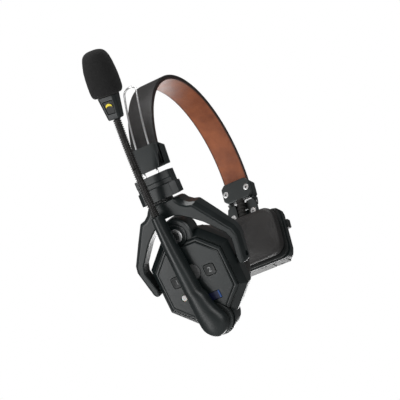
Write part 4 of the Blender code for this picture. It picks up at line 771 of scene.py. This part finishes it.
def grow(piece, last, stations):
    """Extrude the selected end face from station to station: (height, middle x, middle y, half x, half y)."""
    for station in stations:
        up, x, y, wide, deep = station
        old_up, old_x, old_y, old_wide, old_deep = last
        shift = ((x - old_x) * MM, (y - old_y) * MM, (up - old_up) * MM)
        bpy.ops.mesh.extrude_region_move(TRANSFORM_OT_translate={"value": shift})
        bpy.ops.transform.resize(value=(wide / old_wide, deep / old_deep, 1.0),
                                 center_override=(x * MM, y * MM, up * MM))
        last = station


arm = begin(bpy.ops.mesh.primitive_circle_add, "boom_arm_moulding", vertices=36, radius=MM, fill_type="NGON")
bpy.ops.object.mode_set(mode="EDIT")
arm_back, back_depth, front_depth = 8.6, 2.6, 7.2
back_line = arm_back + back_depth
end_radius, end_offset, end_turn = 11.6, -0.7, 84
stations = []
for degree in (end_turn, 74, 62, 48, 32, 16, 0):
    reach = end_radius * cos(radians(degree))
    dome = 1.0 - 0.45 * (degree / end_turn) ** 3
    stations.append((-end_radius * sin(radians(degree)), back_line, end_offset, front_depth * dome, reach))
for up, back, front in ((3.0, -12.3, 10.2), (6.0, -12.2, 8.8), (9.0, -12.0, 7.5), (13.0, -11.8, 6.3),
                        (18.0, -11.5, 5.6), (23.0, -11.2, 5.3), (25.0, -11.1, 3.8), (27.0, -11.0, 3.2),
                        (34.0, -10.6, 3.2), (42.0, -10.1, 3.1), (52.0, -9.6, 2.95), (62.0, -9.0, 2.8),
                        (72.0, -8.0, 2.95), (82.0, -6.8, 3.2), (87.7, -6.1, 3.4), (88.7, -5.95, 3.45),
                        (89.3, -5.4, 3.0)):
    flat = front_depth if up < 89.0 else 6.6
    stations.append((up, back_line, (back + front) / 2, flat, (front - back) / 2))
height, x, y, wide, deep = stations[0]
bpy.ops.mesh.select_all(action="SELECT")
bpy.ops.transform.resize(value=(wide, deep, 1.0), center_override=(0.0, 0.0, 0.0))
bpy.ops.transform.translate(value=(x * MM, y * MM, height * MM))
grow(arm, stations[0], stations[1:])
pick(arm, lambda middle, normal: middle.x < back_line * MM - 0.01 * MM, "verts")
bpy.ops.transform.resize(value=(back_depth / front_depth, 1.0, 1.0),
                         center_override=(back_line * MM, 0.0, 0.0))
close_shape()
soften(arm, 1)
settle(arm, boom_axes)
smooth(arm, 40.0)
fit(arm, black_plastic, "boom", "black_plastic", "boom_arm")


# ---- Gooseneck ----
# A flexible steel neck, wound from ribbed wire and dipped in black; it holds whatever curve it is bent to.
# Two ribbed lengths meet between the two bends.
neck_black = moulded("dipped neck", (0.020, 0.019, 0.018), 0.30, 3000.0, 0.00001)
neck_depth = 13.5
neck_radius = 2.35
bend_reach = 9.0


def neck_spot(distance):
    """The neck's centre across and along the boom, and its lean, at a distance from the arm."""
    lean_low, lean_high, length = radians(4.3), radians(9.5), 77.0
    bend = (lean_high - lean_low) / length
    across, along = -1.1, 89.6
    steps = 24
    for step in range(steps):
        lean = lean_low + bend * distance * (step + 0.5) / steps
        across += sin(lean) * distance / steps
        along += cos(lean) * distance / steps
    return across, along


def ribbed_neck(name, start, stop, near_body, far_body, bend, *nodes):
    """A length of neck with a rib every 1.6 mm; near_body and far_body are not used, and bend changes
    nothing.
    """
    ribs = round((stop - start) / 1.6)
    rings = []
    for rib in range(ribs):
        for share, radius in ((0.0, 2.05), (0.20, 2.66), (0.38, 2.78), (0.56, 2.66), (0.78, 2.05)):
            distance = start + (stop - start) * (rib + share) / ribs
            across, along = neck_spot(distance)
            rings.append((along, neck_depth, across, radius, radius))
    across, along = neck_spot(stop)
    rings.append((along, neck_depth, across, neck_radius, neck_radius))
    piece = begin(bpy.ops.mesh.primitive_circle_add, name, vertices=28, radius=neck_radius * MM,
                  fill_type="NGON", location=(neck_depth * MM, rings[0][2] * MM, rings[0][0] * MM))
    bpy.ops.object.mode_set(mode="EDIT")
    bpy.ops.mesh.select_all(action="SELECT")
    grow(piece, rings[0], rings[1:])
    close_shape()
    settle(piece, boom_axes)
    smooth(piece, 60.0)
    paint_with(piece, neck_black)
    for distance in (bend - bend_reach, bend + bend_reach):
        across, along = neck_spot(distance)
    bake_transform(piece)
    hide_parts(*nodes)


ribbed_neck("neck_to_first_bend", 0.0, 38.4, "boom", "neck", 26.0, "gooseneck_lower", "gooseneck_middle")
ribbed_neck("neck_to_microphone", 38.4, 77.2, "neck", "mic", 51.0, "gooseneck_upper")


# ---- Microphone housing ----
# An eight-sided tapered moulding with a sunken window for a yellow crescent, and a step near its foot.
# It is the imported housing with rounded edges; the mark is glossy paint.
mic_across, mic_along = neck_spot(77.0)
mic_spot = Matrix.Translation((neck_depth * MM, mic_across * MM, mic_along * MM))
mic_axes = boom_axes @ mic_spot @ Matrix.Rotation(radians(-9.5), 4, "X")
mic_housing = from_cad("mic_housing", "microphone_housing", 0.35 * MM, 2, 25.0)
fit(mic_housing, black_plastic, "mic", "black_plastic", "mic_housing")
mic_window = from_cad("mic_window", "microphone_window", 0.1 * MM)
fit(mic_window, dark_plastic, "mic", "dark_plastic", "mic_window")
mark_yellow = finish_material("yellow mark", (0.90, 0.72, 0.0), 0.35)[0]
mic_mark = from_cad("mic_mark", "microphone_mark")
crisp(mic_mark)
fit(mic_mark, mark_yellow, "mic", "mark_yellow", "mic_mark")


# ---- Foam windscreen ----
# A barrel of black open-cell foam pulled over the capsule; its skin is full of fine pores.
# A round face is extruded from ring to ring up the barrel, subdivided, and pushed in and out a little.
def open_cell_foam(name, colour):
    """Foam with pores of about half a millimetre."""
    made, tree, shader, place = finish_material(name, colour, 0.95)
    shader.inputs["Sheen Weight"].default_value = 0.04
    shader.inputs["Sheen Roughness"].default_value = 0.6
    deep, pale = tuple(part * 0.7 for part in colour), tuple(part * 1.3 for part in colour)
    vary(tree, shader, place, 160.0, deep, pale, 0.9, 1.0)
    pores = node(tree, "TexVoronoi", Scale=2000.0)
    fuzz = node(tree, "TexNoise", Scale=4200.0, Detail=3.0)
    both = node(tree, "Math", operation="MULTIPLY_ADD")
    both.inputs[1].default_value = 0.6
    bump = node(tree, "Bump", Strength=1.0, Distance=0.00022)
    tree.links.new(place, pores.inputs["Vector"])
    tree.links.new(place, fuzz.inputs["Vector"])
    tree.links.new(fuzz.outputs["Fac"], both.inputs[0])
    tree.links.new(pores.outputs["Distance"], both.inputs[2])
    tree.links.new(both.outputs["Value"], bump.inputs["Height"])
    tree.links.new(bump.outputs["Normal"], shader.inputs["Normal"])
    return made


foam_black = open_cell_foam("open-cell foam", (0.0080, 0.0080, 0.0080))
foam_foot, foam_length, foam_radius = 18.2, 34.4, 12.3
foam = begin(bpy.ops.mesh.primitive_circle_add, "foam_barrel", vertices=48, radius=5.6 * MM, fill_type="NGON",
             location=(0.0, 0.0, (foam_foot + 3.0) * MM))
bpy.ops.object.mode_set(mode="EDIT")
bpy.ops.mesh.select_all(action="SELECT")
shape = [(foam_foot + 3.0, 0.0, 0.0, 5.6, 5.6), (foam_foot + 0.2, 0.0, 0.0, 5.7, 5.7),
         (foam_foot, 0.0, 0.0, 6.3, 6.3)]
for share, size in ((0.0, 0.78), (0.012, 0.86), (0.05, 0.95), (0.12, 0.995), (0.24, 1.0), (0.36, 1.0),
                    (0.50, 0.98), (0.62, 0.945), (0.74, 0.885), (0.84, 0.81), (0.91, 0.72), (0.96, 0.58),
                    (0.99, 0.38), (1.0, 0.15)):
    shape.append((foam_foot + foam_length * share, 0.0, 0.0, foam_radius * size, foam_radius * size))
grow(foam, shape[0], shape[1:])
close_shape()
soften(foam, 2)
for vertex in foam.data.vertices:
    up, around = vertex.co.z / MM, atan2(vertex.co.y, vertex.co.x)
    wander = (0.05 * sin(3 * around + 0.35 * up) + 0.035 * sin(7 * around - 0.5 * up)
              + 0.03 * sin(13 * around + 1.3 * up))
    vertex.co.x *= 1.0 + wander / foam_radius
    vertex.co.y *= 1.0 + wander / foam_radius
settle(foam, mic_axes)
smooth(foam, 60.0)
fit(foam, foam_black, "mic", "foam", "foam_windscreen")
capsule = from_cad("mic_capsule", "microphone_capsule", 0.2 * MM)
fit(capsule, screw_steel, "mic", "steel_screw", "mic_capsule")


# ---- Clamp on the strap's right end ----
# A grey blasted plate with cut corners is screwed to a moulded block and holds the strap between them.
clamp_axes = side_axes((0.078942, 0.0, -0.081337), 4.0, 1)
clamp_plate = from_cad("clamp_inner_plate", "clamp_plate", 0.3 * MM, 2, 25.0)
fit(clamp_plate, dark_metal, "headband", "dark_metal", "clamp_inner_plate")
clamp_block = from_cad("clamp_outer_block", "clamp_block", 0.4 * MM)
fit(clamp_block, black_plastic, "headband", "black_plastic", "clamp_outer_block")
screws(clamp_axes, ((-9.8, 0.2), (9.8, 0.2)), -7.2, True, "headband", "clamp_screw")
hinge_pin = from_cad("pad_hinge_pin", "hinge_pin", 0.2 * MM)
fit(hinge_pin, screw_steel, "headband", "steel_screw", "pad_hinge_pin")


# ---- Lead boot ----
# A ribbed rubber boot carries the lead from the clamp to the pad; its five ribs let it bend.
# A round face is extruded from rib to rib between the two ends.
pad_axes = side_axes((0.079615, 0.0, -0.093213), 6.0, 1)
boot_top = clamp_axes @ Vector((-6.0 * MM, -1.2 * MM, -8.5 * MM))
boot_foot = pad_axes @ Vector((-10.6 * MM, -1.2 * MM, -14.1 * MM))
boot_way = boot_foot - boot_top
boot_axes = Matrix.Translation(boot_top) @ boot_way.to_track_quat("Z", "Y").to_matrix().to_4x4()
boot_length = boot_way.length / MM
boot_neck = 2.4
boot = begin(bpy.ops.mesh.primitive_circle_add, "ribbed_boot", vertices=36, radius=boot_neck * MM,
             fill_type="NGON")
bpy.ops.object.mode_set(mode="EDIT")
bpy.ops.mesh.select_all(action="SELECT")
rings = [(0.0, 0.0, 0.0, boot_neck, boot_neck)]
ribs = 5
for rib in range(ribs):
    for share, radius in ((0.06, 2.5), (0.16, 3.3), (0.34, 3.75), (0.60, 3.75), (0.78, 3.3), (0.90, 2.5),
                          (1.0, boot_neck)):
        taper = 0.5 * (rib + share) / ribs
        rings.append((boot_length * (rib + share) / ribs, 0.0, 0.0, radius - taper, radius - taper))
grow(boot, rings[0], rings[1:])
close_shape()
settle(boot, boot_axes)
smooth(boot, 50.0)
paint_with(boot, rubber)
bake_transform(boot)
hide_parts("lead_boot")


# ---- Pad bracket ----
# A cast bracket turns on the hinge pin, and two screws hold it to a tab of the battery housing.
bracket = from_cad("pad_bracket", "hinge_bracket", 0.25 * MM)
fit(bracket, dark_metal, "pad", "dark_metal", "pad_bracket")
screws(clamp_axes, ((-9.4, -20.7), (9.4, -20.7)), -4.0, True, "pad", "bracket_screw")


# ---- Temple cushion ----
# A leather pillow over foam, 64 mm long, crowned in the middle and tight over its corners.
# A box with round corners is remeshed evenly and inflated by a cloth simulation, its base held.
pillow_axes = outward(pad_axes, 0.0, 0.0, -36.4)
pillow = begin(bpy.ops.mesh.primitive_cube_add, "temple_pillow", size=MM)
pillow.scale = (64.0, 41.4, 11.0)
bpy.ops.object.transform_apply(scale=True)
pillow.location = (0.0, 0.0, -15.5 * MM)
bpy.ops.object.transform_apply(location=True)
bpy.ops.object.mode_set(mode="EDIT")
pick(pillow, lambda middle, way: abs(way.z) > 0.9, "edges")
bpy.ops.mesh.bevel(offset=10.5 * MM, segments=10)
bpy.ops.object.mode_set(mode="OBJECT")
round_edges(pillow, 3.4 * MM, 6, 60.0)
remesh = pillow.modifiers.new("even", "REMESH")
remesh.mode = "VOXEL"
remesh.voxel_size = 1.1 * MM
apply_all(pillow)
base_line = -11.6 * MM
held = pillow.vertex_groups.new(name="held")
held.add([vertex.index for vertex in pillow.data.vertices if vertex.co.z > base_line], 1.0, "REPLACE")
before = [vertex.co.copy() for vertex in pillow.data.vertices]
cloth = pillow.modifiers.new("stuffing", "CLOTH")
cloth.settings.quality = 6
cloth.settings.mass = 0.15
cloth.settings.tension_stiffness = 12.0
cloth.settings.compression_stiffness = 12.0
cloth.settings.shear_stiffness = 5.0
cloth.settings.bending_stiffness = 0.4
cloth.settings.vertex_group_mass = "held"
cloth.settings.use_pressure = True
cloth.settings.uniform_pressure_force = 3.0
cloth.settings.effector_weights.gravity = 0.0
cloth.collision_settings.use_collision = False
for moment in range(1, 21):
    bpy.context.scene.frame_set(moment)
apply_all(pillow)
bpy.context.scene.frame_set(1)
most = 2.2 * MM
for vertex, start_spot in zip(pillow.data.vertices, before):
    shift = vertex.co - start_spot
    if shift.length > most:
        shift *= most / shift.length
    vertex.co = start_spot + shift
pillow.vertex_groups.clear()
relax = pillow.modifiers.new("relax", "SMOOTH")
relax.iterations = 3
relax.factor = 0.5
apply_all(pillow)
soften(pillow, 1)
settle(pillow, pillow_axes)
smooth(pillow, 60.0)
fit(pillow, pad_hide, "pad", "black_leather", "temple_cushion")


# ---- Battery housing, battery and latch ----
# A moulded box behind the cushion; the grey battery slides in from below and a latch holds it.
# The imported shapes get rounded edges; the battery's end has a slit and a thumb notch.
back_plate = from_cad("pad_back_plate", "cushion_back_plate", 0.4 * MM)
fit(back_plate, dark_plastic, "pad", "dark_plastic", "pad_back_plate")
housing = from_cad("battery_housing", "battery_box", 0.4 * MM, 2, 25.0)
fit(housing, black_plastic, "pad", "black_plastic", "battery_housing")
pale_plastic = moulded("pale grey plastic", (0.062, 0.063, 0.061), 0.50)
battery_case = from_cad("battery_case", "battery_shell")
battery_foot = -59.4 * MM
slit = bar("slit", pad_axes @ Matrix.Translation((1.6 * MM, -14.0 * MM, battery_foot)), (9.0, 0.8, 1.2))
notch = bar("notch", pad_axes @ Matrix.Translation((3.4 * MM, -20.0 * MM, battery_foot)), (1.6, 3.0, 1.2))
carve(battery_case, [slit, notch])
round_edges(battery_case, 0.3 * MM)
crisp(battery_case)
fit(battery_case, pale_plastic, "battery", "battery_grey", "battery_case")
cell_wrap = moulded("cell wrap", (0.100, 0.102, 0.102), 0.35)
paint_with(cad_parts["battery_cell"], cell_wrap)
latch = from_cad("battery_latch", "battery_catch")
thumb_grooves = []
for depth in (-0.2, 1.0, 2.2):
    spot = pad_axes @ Matrix.Translation((depth * MM, -35.6 * MM, -29.7 * MM))
    thumb_grooves.append(bar("thumb_groove", spot, (0.5, 0.7, 5.4)))
carve(latch, thumb_grooves)
round_edges(latch, 0.15 * MM)
crisp(latch)
fit(latch, dark_plastic, "latch", "dark_plastic", "battery_latch")

bpy.data.objects.remove(pattern_screw)
